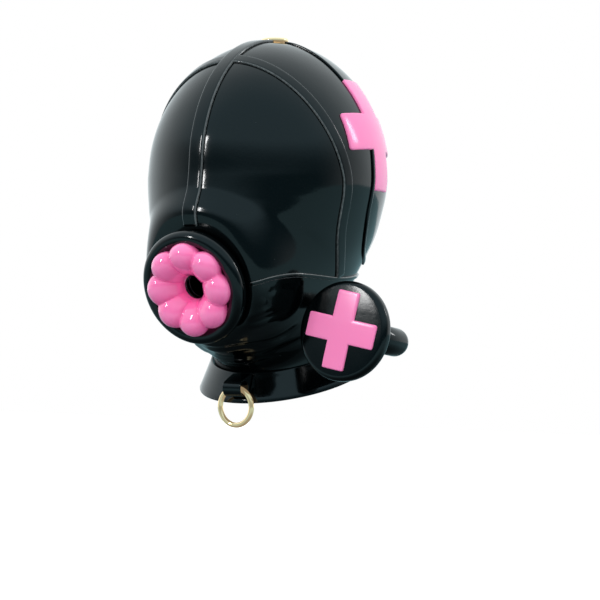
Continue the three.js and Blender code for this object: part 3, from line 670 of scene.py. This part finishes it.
def mark_edge_highlights(piece, width, thickness):
    """Marks the rounded shoulders of a tape, where a pale grey is painted as a highlight on its edges."""
    size = len(tape_section(width, thickness))
    shoulders = (1, 2, 3, size - 4, size - 3, size - 2)
    marks = [1.0 if k % size in shoulders else 0.0 for k in range(len(piece.data.vertices))]
    point_mask(piece, "painted_edge_highlight", marks)


def tape_mesh(path, width, thickness):
    """A closed tape laid on the skin along a path."""
    path = [skin_at(Vector(p)) for p in path]
    section = tape_section(width, thickness)
    points = []
    for step, (place, out) in enumerate(path):
        way = path[min(step + 1, len(path) - 1)][0] - path[max(step - 1, 0)][0]
        aside = way.cross(out).normalized()
        for sideways, lift in section:
            foot, normal = skin_at(place + aside * sideways)
            points.append(foot + normal * lift)
    faces = grid_faces(len(path), len(section))
    last = (len(path) - 1) * len(section)
    faces.append(tuple(range(len(section))))
    faces.append(tuple(last + k for k in reversed(range(len(section)))))
    return points, faces


def mirrored(points, faces):
    """A shape on the right for one on the left."""
    return [Vector((-p[0], p[1], p[2])) for p in points], [tuple(reversed(face)) for face in faces]


def both_sides(name, points, faces, material, slot, replaced):
    """A left piece and its mirror image, which replace the CAD nodes of the same sides."""
    pair = []
    for side, shape in {"left": (points, faces), "right": mirrored(points, faces)}.items():
        nodes_there = [f"{node}_{side}" for node in replaced]
        pair.append(solid_piece(f"{name}_{side}", *shape, material, slot, nodes_there))
    return pair


def glued_tapes(name, path, width, thickness, replaced, painted_edge_highlights=True):
    """A tape or seam on the left of the skin, and its mirror image."""
    shape = tape_mesh(path, width, thickness)
    for tape in both_sides(name, *shape, black_latex, "black_latex", replaced):
        # Painted highlight along the tape's edges, left off the back seam.
        if painted_edge_highlights:
            mark_edge_highlights(tape, width, thickness)


def side_path(guide):
    """The path on the left skin under a guide of [back, up] points, seen from the side."""
    guide = np.array([(back * OCCIPUT_REACH, up * CROWN_RISE, 0) for back, up in guide])
    path = []
    for share in np.linspace(0, 1, GUIDE_STEPS):
        back, up, _ = along_curve(guide, share)
        start = Vector((CAST_FROM, back + TO_PART[1], up + TO_PART[2]))
        place, _, _, _ = skin_tree.ray_cast(start, Vector((-1, 0, 0)))
        if place is not None and place.x >= -MIDDLE_SLACK:
            path.append(place)
    return path


def clear_of_muzzle(point):
    """Whether a tape's point lies outside the muzzle's edge."""
    aside, along = off_axis(Vector(point))
    return aside.length > MUZZLE_CLEAR or along < -MUZZLE_BEHIND


def tape_path(guide, kept):
    """The even path on the left skin under a guide, where its points pass a test."""
    return smoothed(even_path([p for p in side_path(guide) if kept(p)], TAPE_STEP), 4)


front_turn = np.array([1.5 * math.pi])
centre_path = [skin_ring(share, front_turn)[0] for share in np.linspace(0.01, 0.85, 1500)]
centre_path = [p for p in centre_path if p[1] < -EYELET_CLEAR and p[2] > muzzle_seat[2]]
centre_path = even_path([p for p in centre_path if clear_of_muzzle(p)], TAPE_STEP)
centre_shape = tape_mesh(centre_path, CENTRE_WIDTH, TAPE_THICKNESS + TAPE_LAP)
centre = solid_piece("centre_tape", *centre_shape, black_latex, "black_latex", ["centre_strip"])
mark_edge_highlights(centre, CENTRE_WIDTH, TAPE_THICKNESS + TAPE_LAP)

JAW_GUIDE = [
    (-1.0, -0.84), (-0.83, -0.745), (-0.6, -0.705), (-0.4, -0.71), (0.0, -0.735), (0.45, -0.71),
    (1.1, -0.66),
]
TEMPLE_GUIDE = [(-0.56, 1.02), (-0.38, 0.52), (-0.22, 0.0), (-0.18, -0.4), (-0.02, -0.73)]
BACK_GUIDE = [
    (0.09, 1.1), (0.11, 0.77), (0.14, 0.4), (0.115, 0.0), (0.125, -0.3), (0.24, -0.52), (0.48, -0.62),
]
jaw_path = tape_path(JAW_GUIDE, clear_of_muzzle)
temple_path = tape_path(TEMPLE_GUIDE, lambda p: p.x > CENTRE_WIDTH / 4)
back_path = tape_path(BACK_GUIDE, lambda p: p.x > EYELET_CLEAR)
back_nodes = ["back_seam_upper", "back_seam_lower"]
glued_tapes("jaw_seam", jaw_path, SEAM_WIDTH, SEAM_THICKNESS, ["jaw_seam"])
glued_tapes("temple_tape", temple_path[:-1], TEMPLE_WIDTH, TAPE_THICKNESS, ["temple_strip"])
glued_tapes("back_seam", back_path, SEAM_WIDTH, SEAM_THICKNESS, back_nodes, painted_edge_highlights=False)

# Cross patches
# Raised crosses of smooth pink rubber, cut from thick sheet with softened edges and glued flat behind
# each ear.
PATCH_SPAN = 0.081
PATCH_ARM = 0.0265
PATCH_CORNER = 0.0025
PATCH_THICKNESS = 0.00155
PATCH_SHARE = 0.316
PATCH_TURN = math.radians(14.5)
PATCH_TILT = math.radians(2)
PATCH_EDGE = 0.0011
PATCH_SINK = 0.0004
PATCH_CAST = 0.06
PINK = (0.97, 0.235, 0.5)
PINK_DUST = (0.95, 0.6, 0.75)
PINK_GLOW = 0.14


def soft_pink(name, finish, glow_colour, glow, soft_share):
    """A pink rubber that lets in some light. A faint glow stands for the bright room around it."""
    material, shader, tone = polished(name, PINK, PINK_DUST, *finish)
    shader.inputs["Emission Color"].default_value = (*glow_colour, 1)
    shader.inputs["Emission Strength"].default_value = glow
    shader.inputs["Subsurface Weight"].default_value = soft_share
    shader.inputs["Subsurface Radius"].default_value = (0.004, 0.0018, 0.002)
    shader.inputs["Subsurface Scale"].default_value = 1.0
    return material, shader, tone


pink_rubber, _, _ = soft_pink("pink_rubber", (0.13, 0.08, 0.8, 0.15), PINK, PINK_GLOW, 0.12)


def cross_lines(span, arm, edge, pitch):
    """Grid lines across a cross, close together along its edges."""
    near, far = arm / 2, span / 2
    steps = (0, 0.12, 0.35, 0.65, 1)
    lines = [far - edge * k for k in steps] + [near - edge * k for k in steps]
    lines += list(np.linspace(near, far - edge, max(int((far - near) / pitch), 2))[1:-1])
    lines += list(np.linspace(0, near - edge, max(int(near / pitch), 2))[:-1])
    lines = np.array(sorted(set(round(line, 7) for line in lines)))
    return np.concatenate([-lines[::-1], lines[1:]])


def cross_sheet(span, arm, corner, edge, thickness, pitch=0.0014):
    """The [x, y, height] points and the faces of a flat cross with rounded edges and corners."""
    lines = cross_lines(span, arm, edge, pitch)
    far, near = span / 2, arm / 2

    def rounded(x, y):
        for long_x, limit_x, limit_y in ((True, far, near), (False, near, far)):
            inside = abs(x) <= limit_x + 1e-9 and abs(y) <= limit_y + 1e-9
            beyond = abs(x) > near if long_x else abs(y) > near
            a = abs(x) - (limit_x - corner)
            b = abs(y) - (limit_y - corner)
            if inside and beyond and a > 0 and b > 0:
                a, b = a / corner, b / corner
                a, b = a * math.sqrt(1 - b * b / 2), b * math.sqrt(1 - a * a / 2)
                out_x, out_y = limit_x - corner + a * corner, limit_y - corner + b * corner
                return math.copysign(out_x, x), math.copysign(out_y, y)
        return x, y

    def depth_inside(x, y):
        return max(min(far - abs(x), near - abs(y)), min(near - abs(x), far - abs(y)))

    number = {}
    points = []
    faces = []

    def vertex(column, row, top):
        key = (column, row, top)
        if key not in number:
            x, y = lines[column], lines[row]
            inward = min(max(depth_inside(x, y), 0) / edge, 1)
            lift = thickness - edge * (1 - math.sqrt(1 - (1 - inward) ** 2)) if top else -PATCH_SINK
            number[key] = len(points)
            points.append((*rounded(x, y), lift))
        return number[key]

    def filled(column, row):
        if not (0 <= column < len(lines) - 1 and 0 <= row < len(lines) - 1):
            return False
        x = (lines[column] + lines[column + 1]) / 2
        y = (lines[row] + lines[row + 1]) / 2
        return depth_inside(x, y) > 0

    for column in range(len(lines) - 1):
        for row in range(len(lines) - 1):
            if not filled(column, row):
                continue
            corners = [(column, row), (column + 1, row), (column + 1, row + 1), (column, row + 1)]
            faces.append(tuple(vertex(*c, True) for c in corners))
            faces.append(tuple(vertex(*c, False) for c in reversed(corners)))
            beside = [(column, row - 1), (column + 1, row), (column, row + 1), (column - 1, row)]
            for k, neighbour in enumerate(beside):
                if not filled(*neighbour):
                    start, end = corners[k], corners[(k + 1) % 4]
                    low = (vertex(*start, False), vertex(*end, False))
                    faces.append((*low, vertex(*end, True), vertex(*start, True)))
    return points, faces


patch_middle = Vector(skin_ring(PATCH_SHARE, np.array([PATCH_TURN]))[0])
_, patch_out = skin_at(patch_middle)
patch_across = Vector((0, 0, 1)).cross(patch_out).normalized()
patch_axes = (patch_across, patch_out.cross(patch_across), patch_out)
patch_frame = standing(patch_axes, patch_middle) @ Matrix.Rotation(-PATCH_TILT, 4, "Z")
flat_points, cross_faces = cross_sheet(PATCH_SPAN, PATCH_ARM, PATCH_CORNER, PATCH_EDGE, PATCH_THICKNESS)
patch_points = []
for x, y, lift in flat_points:
    place, _, _, _ = skin_tree.ray_cast(patch_frame @ Vector((x, y, PATCH_CAST)), -patch_out)
    foot, normal = skin_at(place)
    patch_points.append(foot + normal * lift)
both_sides("cross_patch", patch_points, cross_faces, pink_rubber, "pink_rubber", ["cross_patch"])

# Crown eyelet
# A gilt brass eyelet with a rolled flange, pressed through the crown over a washer inside.
EYELET_HOLE = 0.00475
EYELET_BARREL = 0.00575
EYELET_FLANGE = 0.00975
EYELET_ROLL = 0.0024
EYELET_SUNK = 0.0007
CROWN_TOP = WALL
WASHER_TOP = -0.00175
WASHER_THICKNESS = 0.001
EYELET_HEIGHT = 0.0024
EYELET_RISE = (GLUE_GAP + EYELET_HEIGHT + EYELET_SUNK) / 2
EYELET_MIDDLE = CROWN_TOP - EYELET_SUNK + EYELET_RISE

gold, gold_shader, _ = polished("gilt_brass", (1.0, 0.79, 0.47), (0.42, 0.27, 0.1), 0.1, 0.16, 0.6, 0.25)
gold_shader.inputs["Metallic"].default_value = 1
# A faint orange glow is painted light that keeps the gilt bright where it mirrors the dim front.
gold_shader.inputs["Emission Color"].default_value = (1.0, 0.72, 0.4, 1)
gold_shader.inputs["Emission Strength"].default_value = 0.3


def arc(x, y, radius, start, end, steps):
    """Points on an arc of an outline, between two angles in quarter turns."""
    angles = np.linspace(start, end, steps + 1) * math.pi / 2
    return [(x + radius * math.cos(a), y + radius * math.sin(a)) for a in angles]


def oval(x, y, across, rise, start, end, steps):
    """Points on an oval arc of an outline, between two angles in quarter turns."""
    return [(x + across * a, y + rise * b) for a, b in arc(0, 0, 1, start, end, steps)]


def spun(outline, sides, place):
    """A closed solid spun about its frame's third axis from an outline of [radius, height] points. An
    outline that starts and ends on the axis is closed there, and any other joins its ends."""
    closed = outline[0][0] > 1e-9
    rims = outline if closed else outline[1:-1]
    points = []
    for radius, height_there in rims:
        for side in range(sides):
            angle = side / sides * 2 * math.pi
            spot = (radius * math.cos(angle), radius * math.sin(angle), height_there)
            points.append(place @ Vector(spot))
    faces = grid_faces(len(rims), sides, loops=closed)
    if not closed:
        for end, row in ((outline[0], 0), (outline[-1], len(rims) - 1)):
            points.append(place @ Vector((0, 0, end[1])))
            for side in range(sides):
                faces.append((row * sides + side, row * sides + (side + 1) % sides, len(points) - 1))
    return points, faces


eyelet_outline = [
    (EYELET_HOLE, WASHER_TOP - WASHER_THICKNESS),
    (EYELET_FLANGE, WASHER_TOP - WASHER_THICKNESS),
    (EYELET_FLANGE, WASHER_TOP),
    (EYELET_BARREL, WASHER_TOP),
    (EYELET_BARREL, CROWN_TOP - EYELET_SUNK),
    (EYELET_FLANGE - EYELET_ROLL, CROWN_TOP - EYELET_SUNK),
    *oval(EYELET_FLANGE - EYELET_ROLL, EYELET_MIDDLE, EYELET_ROLL, EYELET_RISE, -1, 1, 12),
    *oval(EYELET_HOLE + EYELET_ROLL, EYELET_MIDDLE, EYELET_ROLL, EYELET_RISE, 1, 2, 6),
]
solid_piece("crown_eyelet_ring", *spun(eyelet_outline, 64, Matrix()), gold, "gold", ["crown_eyelet"])

# Muzzle rim
# A moulded dish of black rubber with a fat rounded lip. It is bonded over the mouth, and a bore leads
# through its floor.
MUZZLE_DEPTH = 0.0135
MUZZLE_BACK_EDGE = 0.006
MUZZLE_FOOT = 0.0394
MUZZLE_FLOOR = 0.004
LIP_ACROSS = 0.0051
LIP_RISE = 0.0052
LIP_FOOT = 0.0015

black_rubber, rubber_shader, _ = polished(
    "black_moulded_rubber", (0.0008, 0.0013, 0.0016), LATEX_DUST, 0.11, 0.07, 0.8, 0.5
)
rubber_shader.inputs["IOR"].default_value = LATEX_IOR
muzzle_up = Vector(muzzle_axis).cross(Vector((1, 0, 0)))
muzzle_frame = standing((Vector((1, 0, 0)), muzzle_up, Vector(muzzle_axis)), Vector(muzzle_seat))
rim_outline = [
    (BORE / 2, 0),
    *arc(MUZZLE_FOOT - MUZZLE_BACK_EDGE, MUZZLE_BACK_EDGE, MUZZLE_BACK_EDGE, -1, -0.15, 8),
    *oval(MUZZLE_OUTER / 2 - LIP_ACROSS, MUZZLE_DEPTH - LIP_RISE, LIP_ACROSS, LIP_RISE, 0, 2, 18),
    *arc(MUZZLE_OUTER / 2 - 2 * LIP_ACROSS - LIP_FOOT, MUZZLE_FLOOR + LIP_FOOT, LIP_FOOT, 0, -1, 6),
    (BORE / 2, MUZZLE_FLOOR),
]
rim_shape = spun(rim_outline, 128, muzzle_frame)
solid_piece("muzzle_dish", *rim_shape, black_rubber, "black_rubber", ["muzzle_rim"])

# Petal ring
# Eight plump petals of soft pink rubber, moulded in one ring. They press on each other along deep
# creases and sink in a funnel to the hole in the middle.
PETALS = 8
PETAL_OUTER = 0.0655
PETAL_HOLE = 0.0165
PETAL_FRONT_PLUMP = 0.009
PETAL_BACK_PLUMP = 0.01
PETAL_NOTCH = 0.0044
PETAL_SCALLOP = 0.85
PETAL_LEAST = 0.004
PETAL_FUNNEL = 0.008
PETAL_CREASE = 0.52
PETAL_CREASE_LEVEL = 0.5
PETAL_STEPS = 26
PETAL_SIDES = 44
PETAL_GLOW = 0.22

# A darker pink for painted shade in the creases and the funnel; the petals' faint glow takes it too.
PINK_SHADED = (0.93, 0.1, 0.35)

petal_pink, petal_shader, petal_tone = soft_pink(
    "petal_pink", (0.07, 0.03, 0.6, 0.1), PINK_SHADED, PETAL_GLOW, 0.15
)
petal_shader.inputs["Coat Weight"].default_value = 1.0
petal_shader.inputs["Coat IOR"].default_value = 1.8
petal_shader.inputs["Coat Roughness"].default_value = 0.06
petal_tree = petal_pink.node_tree
# Painted shade: the petals go to the darker pink along their creases and down the funnel.
crease_shade_mask = add_node(petal_tree, "ShaderNodeAttribute", attribute_name="crease").outputs["Fac"]
crease_shade_tone = colour_mix(petal_tree, crease_shade_mask, (*PINK, 1), (*PINK_SHADED, 1))
petal_tree.links.new(crease_shade_tone.outputs["Result"], petal_tone.inputs["A"])

petal_points = []
petal_crease_shade = []
for step in range(PETALS * PETAL_STEPS):
    angle = step / (PETALS * PETAL_STEPS) * 2 * math.pi
    lobe = math.cos(PETALS / 2 * angle) ** 2 * (1 - PETAL_LEAST) + PETAL_LEAST
    swell = lobe ** (PETAL_CREASE / 2)
    outer = PETAL_OUTER / 2 - PETAL_NOTCH * (1 - lobe ** (PETAL_SCALLOP / 2))
    middle = (outer + PETAL_HOLE / 2) / 2
    reach = (outer - PETAL_HOLE / 2) / 2
    plump = PETAL_FRONT_PLUMP * (PETAL_CREASE_LEVEL + (1 - PETAL_CREASE_LEVEL) * swell)
    seat_height = MUZZLE_FLOOR + GLUE_GAP + PETAL_BACK_PLUMP
    for side in range(PETAL_SIDES):
        turn = side / PETAL_SIDES * 2 * math.pi
        out = middle + reach * math.cos(turn)
        inwardness = (1 - math.cos(turn)) / 2
        sunk = PETAL_FUNNEL * inwardness**2
        bulge = plump if math.sin(turn) > 0 else PETAL_BACK_PLUMP - sunk
        place = (out * math.cos(angle), out * math.sin(angle), seat_height + bulge * math.sin(turn) - sunk)
        petal_points.append(muzzle_frame @ Vector(place))
        # Painted shade, darkest where the petals press together and down the funnel to the hole.
        petal_crease_shade.append(min(1, 0.9 * max(1 - swell, 0) ** 1.2 + 0.75 * inwardness**3))
petal_faces = grid_faces(PETALS * PETAL_STEPS, PETAL_SIDES, loops=True)
petals = solid_piece("petals", petal_points, petal_faces, petal_pink, "pink_rubber", ["petal_ring"])
point_mask(petals, "crease", petal_crease_shade)

# Collar
# A band of the same black latex, glued round the bottom of the neck and flaring to its lower edge.
COLLAR_TUCK = 0.007
COLLAR_HEIGHT = 0.021
COLLAR_FLARE = 0.008
COLLAR_WALL = 0.0016
COLLAR_EASE = 0.0007
COLLAR_SIDES = 160
CREASE_SHARE = (CROWN_STEPS + len(FACE_ROWS)) / (len(ROWS) - 1)

collar_turns = np.linspace(0, 2 * math.pi, COLLAR_SIDES, endpoint=False)
hem_ring = skin_ring(1, collar_turns)
hem_out = np.roll(hem_ring, -1, axis=0) - np.roll(hem_ring, 1, axis=0)
hem_out = np.stack([hem_out[:, 1], -hem_out[:, 0], np.zeros(COLLAR_SIDES)], axis=1)
hem_out /= np.linalg.norm(hem_out, axis=1, keepdims=True)


def neck_above_hem(above):
    """The neck's skin at a height above the hem, all the way round."""
    ring = np.zeros_like(hem_ring)
    for side, turn in enumerate(collar_turns):
        one = np.array([turn])
        level = hem_ring[side][2] + above
        share = share_where(CREASE_SHARE, 1, lambda s: skin_ring(s, one)[0][2] <= level)
        ring[side] = skin_ring(share, one)[0]
    return ring


def collar_row(above, drop, flare):
    """A ring of the collar from the neck at a height above the hem, dropped and moved outwards."""
    source = hem_ring if above == 0 else neck_above_hem(above)
    return source + hem_out * flare - np.array((0, 0, drop))


collar_foot = COLLAR_HEIGHT - COLLAR_TUCK
hem_flare = COLLAR_FLARE * COLLAR_TUCK / COLLAR_HEIGHT
edge_round = COLLAR_WALL / 2
collar_rows = []
for share in (1, 0.66, 0.33):
    above = (COLLAR_TUCK - edge_round) * share
    collar_rows.append(collar_row(above, 0, COLLAR_EASE + hem_flare * (1 - share) + COLLAR_WALL))
for share in (0, 0.25, 0.5, 0.75, 1):
    flare = hem_flare + (COLLAR_FLARE - hem_flare) * share
    drop = (collar_foot - edge_round) * share
    collar_rows.append(collar_row(0, drop, COLLAR_EASE + flare + COLLAR_WALL))
for inward, rise in arc(0, 0, edge_round, 0, -2, 6)[1:-1]:
    flare = COLLAR_EASE + COLLAR_FLARE + edge_round + inward
    collar_rows.append(collar_row(0, collar_foot - edge_round - rise, flare))
for share in (1, 0.5, 0):
    flare = hem_flare + (COLLAR_FLARE - hem_flare) * share
    collar_rows.append(collar_row(0, (collar_foot - edge_round) * share, COLLAR_EASE + flare))
for share in (0.5, 1):
    above = (COLLAR_TUCK - edge_round) * share
    collar_rows.append(collar_row(above, 0, COLLAR_EASE + hem_flare * (1 - share)))
for inward, rise in arc(0, 0, edge_round, -2, 0, 6)[1:-1]:
    flare = COLLAR_EASE + edge_round + inward
    collar_rows.append(collar_row(COLLAR_TUCK - edge_round, rise, flare))
collar_faces = grid_faces(len(collar_rows), COLLAR_SIDES, loops=True)
collar_points = np.concatenate(collar_rows)
solid_piece("collar_band", collar_points, collar_faces, black_latex, "black_latex", ["collar"])

# Throat tab and ring
# A plain ring of gilt brass wire hangs in a short strap of latex, which is folded round it and glued to
# the front of the collar, so that the ring swings in the loop.
RING_OUTER = 0.0295
RING_WIRE = 0.0038
TAB_WIDTH = 0.0145
TAB_THICKNESS = 0.0012
STRAP_SOFTNESS = 0.0003
WIRE_STEPS = 96
WIRE_SIDES = 20
hinge = Vector(frame["record"]["behaviour"]["joints"][0]["pos_m"])
ring_swing = RING_OUTER / 2 - RING_WIRE / 2
_, tab_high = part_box("throat_tab")
wire_lean = math.asin(TAB_WIDTH / 2 / ring_swing)
wire_reach = ring_swing * (1 - math.cos(wire_lean)) + RING_WIRE / 2 / math.cos(wire_lean)
eye_radius = wire_reach + GLUE_GAP
loop_radius = eye_radius + TAB_THICKNESS
wire_points = []
for step in range(WIRE_STEPS):
    angle = step / WIRE_STEPS * 2 * math.pi
    outward = Vector((math.cos(angle), 0, math.sin(angle)))
    middle_wire = hinge - Vector((0, 0, ring_swing)) + outward * ring_swing
    for side in range(WIRE_SIDES):
        turn = side / WIRE_SIDES * 2 * math.pi
        around = outward * math.cos(turn) + Vector((0, math.sin(turn), 0))
        wire_points.append(middle_wire + around * (RING_WIRE / 2))
wire_faces = grid_faces(WIRE_STEPS, WIRE_SIDES, loops=True)
solid_piece("gilt_ring", wire_points, wire_faces, gold, "gold", ["throat_ring"], body="ring")

tab_back = tab_high[1]
tab_front = tab_back - 2 * TAB_THICKNESS
tab_top = tab_high[2]


def touch_angle(side, turn):
    """Where a straight side of the strap touches its loop, in quarter turns."""
    away_y = side - hinge.y
    away_z = tab_top - hinge.z
    lean = math.acos(loop_radius / math.hypot(away_y, away_z))
    return (math.atan2(away_z, away_y) + turn * lean) / (math.pi / 2)


loop_start = touch_angle(tab_front, 1)
outer_loop = arc(hinge.y, hinge.z, loop_radius, loop_start, touch_angle(tab_back, -1) + 4, 28)
inner_loop = arc(hinge.y, hinge.z, eye_radius, 0, 4, 40)[:-1]
strap = bmesh.new()


def strap_side(x):
    """The strap's side view at x: its outline, with the eye cut out."""
    outline = [(tab_back, tab_top), (tab_front, tab_top), *outer_loop]
    loops = [[strap.verts.new((x, y, z)) for y, z in loop] for loop in (outline, inner_loop)]
    edges = []
    for loop in loops:
        edges += [strap.edges.new((loop[k - 1], loop[k])) for k in range(len(loop))]
    bmesh.ops.triangle_fill(strap, use_beauty=True, use_dissolve=False, edges=edges)
    return loops


for near_loop, far_loop in zip(strap_side(TAB_WIDTH / 2), strap_side(-TAB_WIDTH / 2)):
    for k in range(len(near_loop)):
        strap.faces.new((near_loop[k - 1], near_loop[k], far_loop[k], far_loop[k - 1]))
strap.verts.index_update()
strap_points = [vertex.co.copy() for vertex in strap.verts]
strap_faces = [[vertex.index for vertex in face.verts] for face in strap.faces]
strap.free()
tab = solid_piece(
    "throat_strap", strap_points, strap_faces, black_latex, "black_latex", ["throat_tab"]
)
soften = tab.modifiers.new("soft edges", "BEVEL")
soften.width = STRAP_SOFTNESS
soften.segments = 3
soften.limit_method = "ANGLE"
soften.angle_limit = math.radians(50)
soften.harden_normals = True

# Stopper
# A thick disc of black rubber with a pink cross on its face. Its round-ended stem plugs the petals, and
# here it is out, beside the neck.
CAP_OUTER = 0.0685
CAP_THICKNESS = 0.0095
CAP_EDGE = 0.0038
CAP_DOME = 0.0007
CAP_SHAPE = [
    dict(inward=0.003, rise=0.2),
    dict(inward=0.01, rise=0.55),
    dict(inward=0.01945, rise=0.9),
    dict(inward=0.02645, rise=0.99),
]
CAP_CROSS_SPAN = 0.054
CAP_CROSS_ARM = 0.017
CAP_CROSS_CORNER = 0.0016
CAP_CROSS_EDGE = 0.0009
CAP_CROSS_THICKNESS = 0.00155
STEM_WIDTH = 0.02
STEM_LENGTH = 0.072
STEM_SINK = 0.0002
CAP_PLACE = Vector((0.0872, -0.042, -0.1052)) + Vector(TO_PART)
CAP_ROLL = math.radians(10.3)
CAP_FACE_UP = math.radians(8)

facing = Matrix(((1, 0, 0), (0, 0, 1), (0, -1, 0))).transposed().to_4x4()
cap_turn = Matrix.Rotation(-CAP_FACE_UP, 4, "X") @ Matrix.Rotation(CAP_ROLL, 4, "Y") @ facing
cap_frame = Matrix.Translation(CAP_PLACE) @ cap_turn
cap_radius = CAP_OUTER / 2
cap_outline = [
    (0, -CAP_THICKNESS),
    *arc(cap_radius - CAP_EDGE, CAP_EDGE - CAP_THICKNESS, CAP_EDGE, -1, 0, 8),
    *arc(cap_radius - CAP_EDGE, -CAP_EDGE, CAP_EDGE, 0, 1, 8),
    *((cap_radius - CAP_EDGE - row["inward"], CAP_DOME * row["rise"]) for row in CAP_SHAPE),
    (0, CAP_DOME),
]
cap_shape = spun(cap_outline, 128, cap_frame)
solid_piece("stopper_disc", *cap_shape, black_rubber, "black_rubber", ["stopper_cap"])
flat_points, cross_faces = cross_sheet(
    CAP_CROSS_SPAN, CAP_CROSS_ARM, CAP_CROSS_CORNER, CAP_CROSS_EDGE, CAP_CROSS_THICKNESS
)
face_points = []
for x, y, lift in flat_points:
    rise = CAP_DOME * max(1 - (x * x + y * y) / (cap_radius - CAP_EDGE) ** 2, 0)
    face_points.append(cap_frame @ Vector((x, y, lift + rise)))
cross_nodes = ["stopper_cross"]
cap_cross = solid_piece(
    "stopper_cross_face", face_points, cross_faces, pink_rubber, "pink_rubber", cross_nodes
)
cap_cross.visible_glossy = False
stem_radius = STEM_WIDTH / 2
stem_back = CAP_THICKNESS + GLUE_GAP + STEM_LENGTH
stem_outline = [
    (0, -stem_back),
    *arc(0, stem_radius - stem_back, stem_radius, -1, 0, 14)[1:],
    (stem_radius, -CAP_THICKNESS + STEM_SINK),
    (0, -CAP_THICKNESS + STEM_SINK),
]
stem_shape = spun(stem_outline, 64, cap_frame)
solid_piece("stopper_plug", *stem_shape, black_rubber, "black_rubber", ["stopper_stem"])
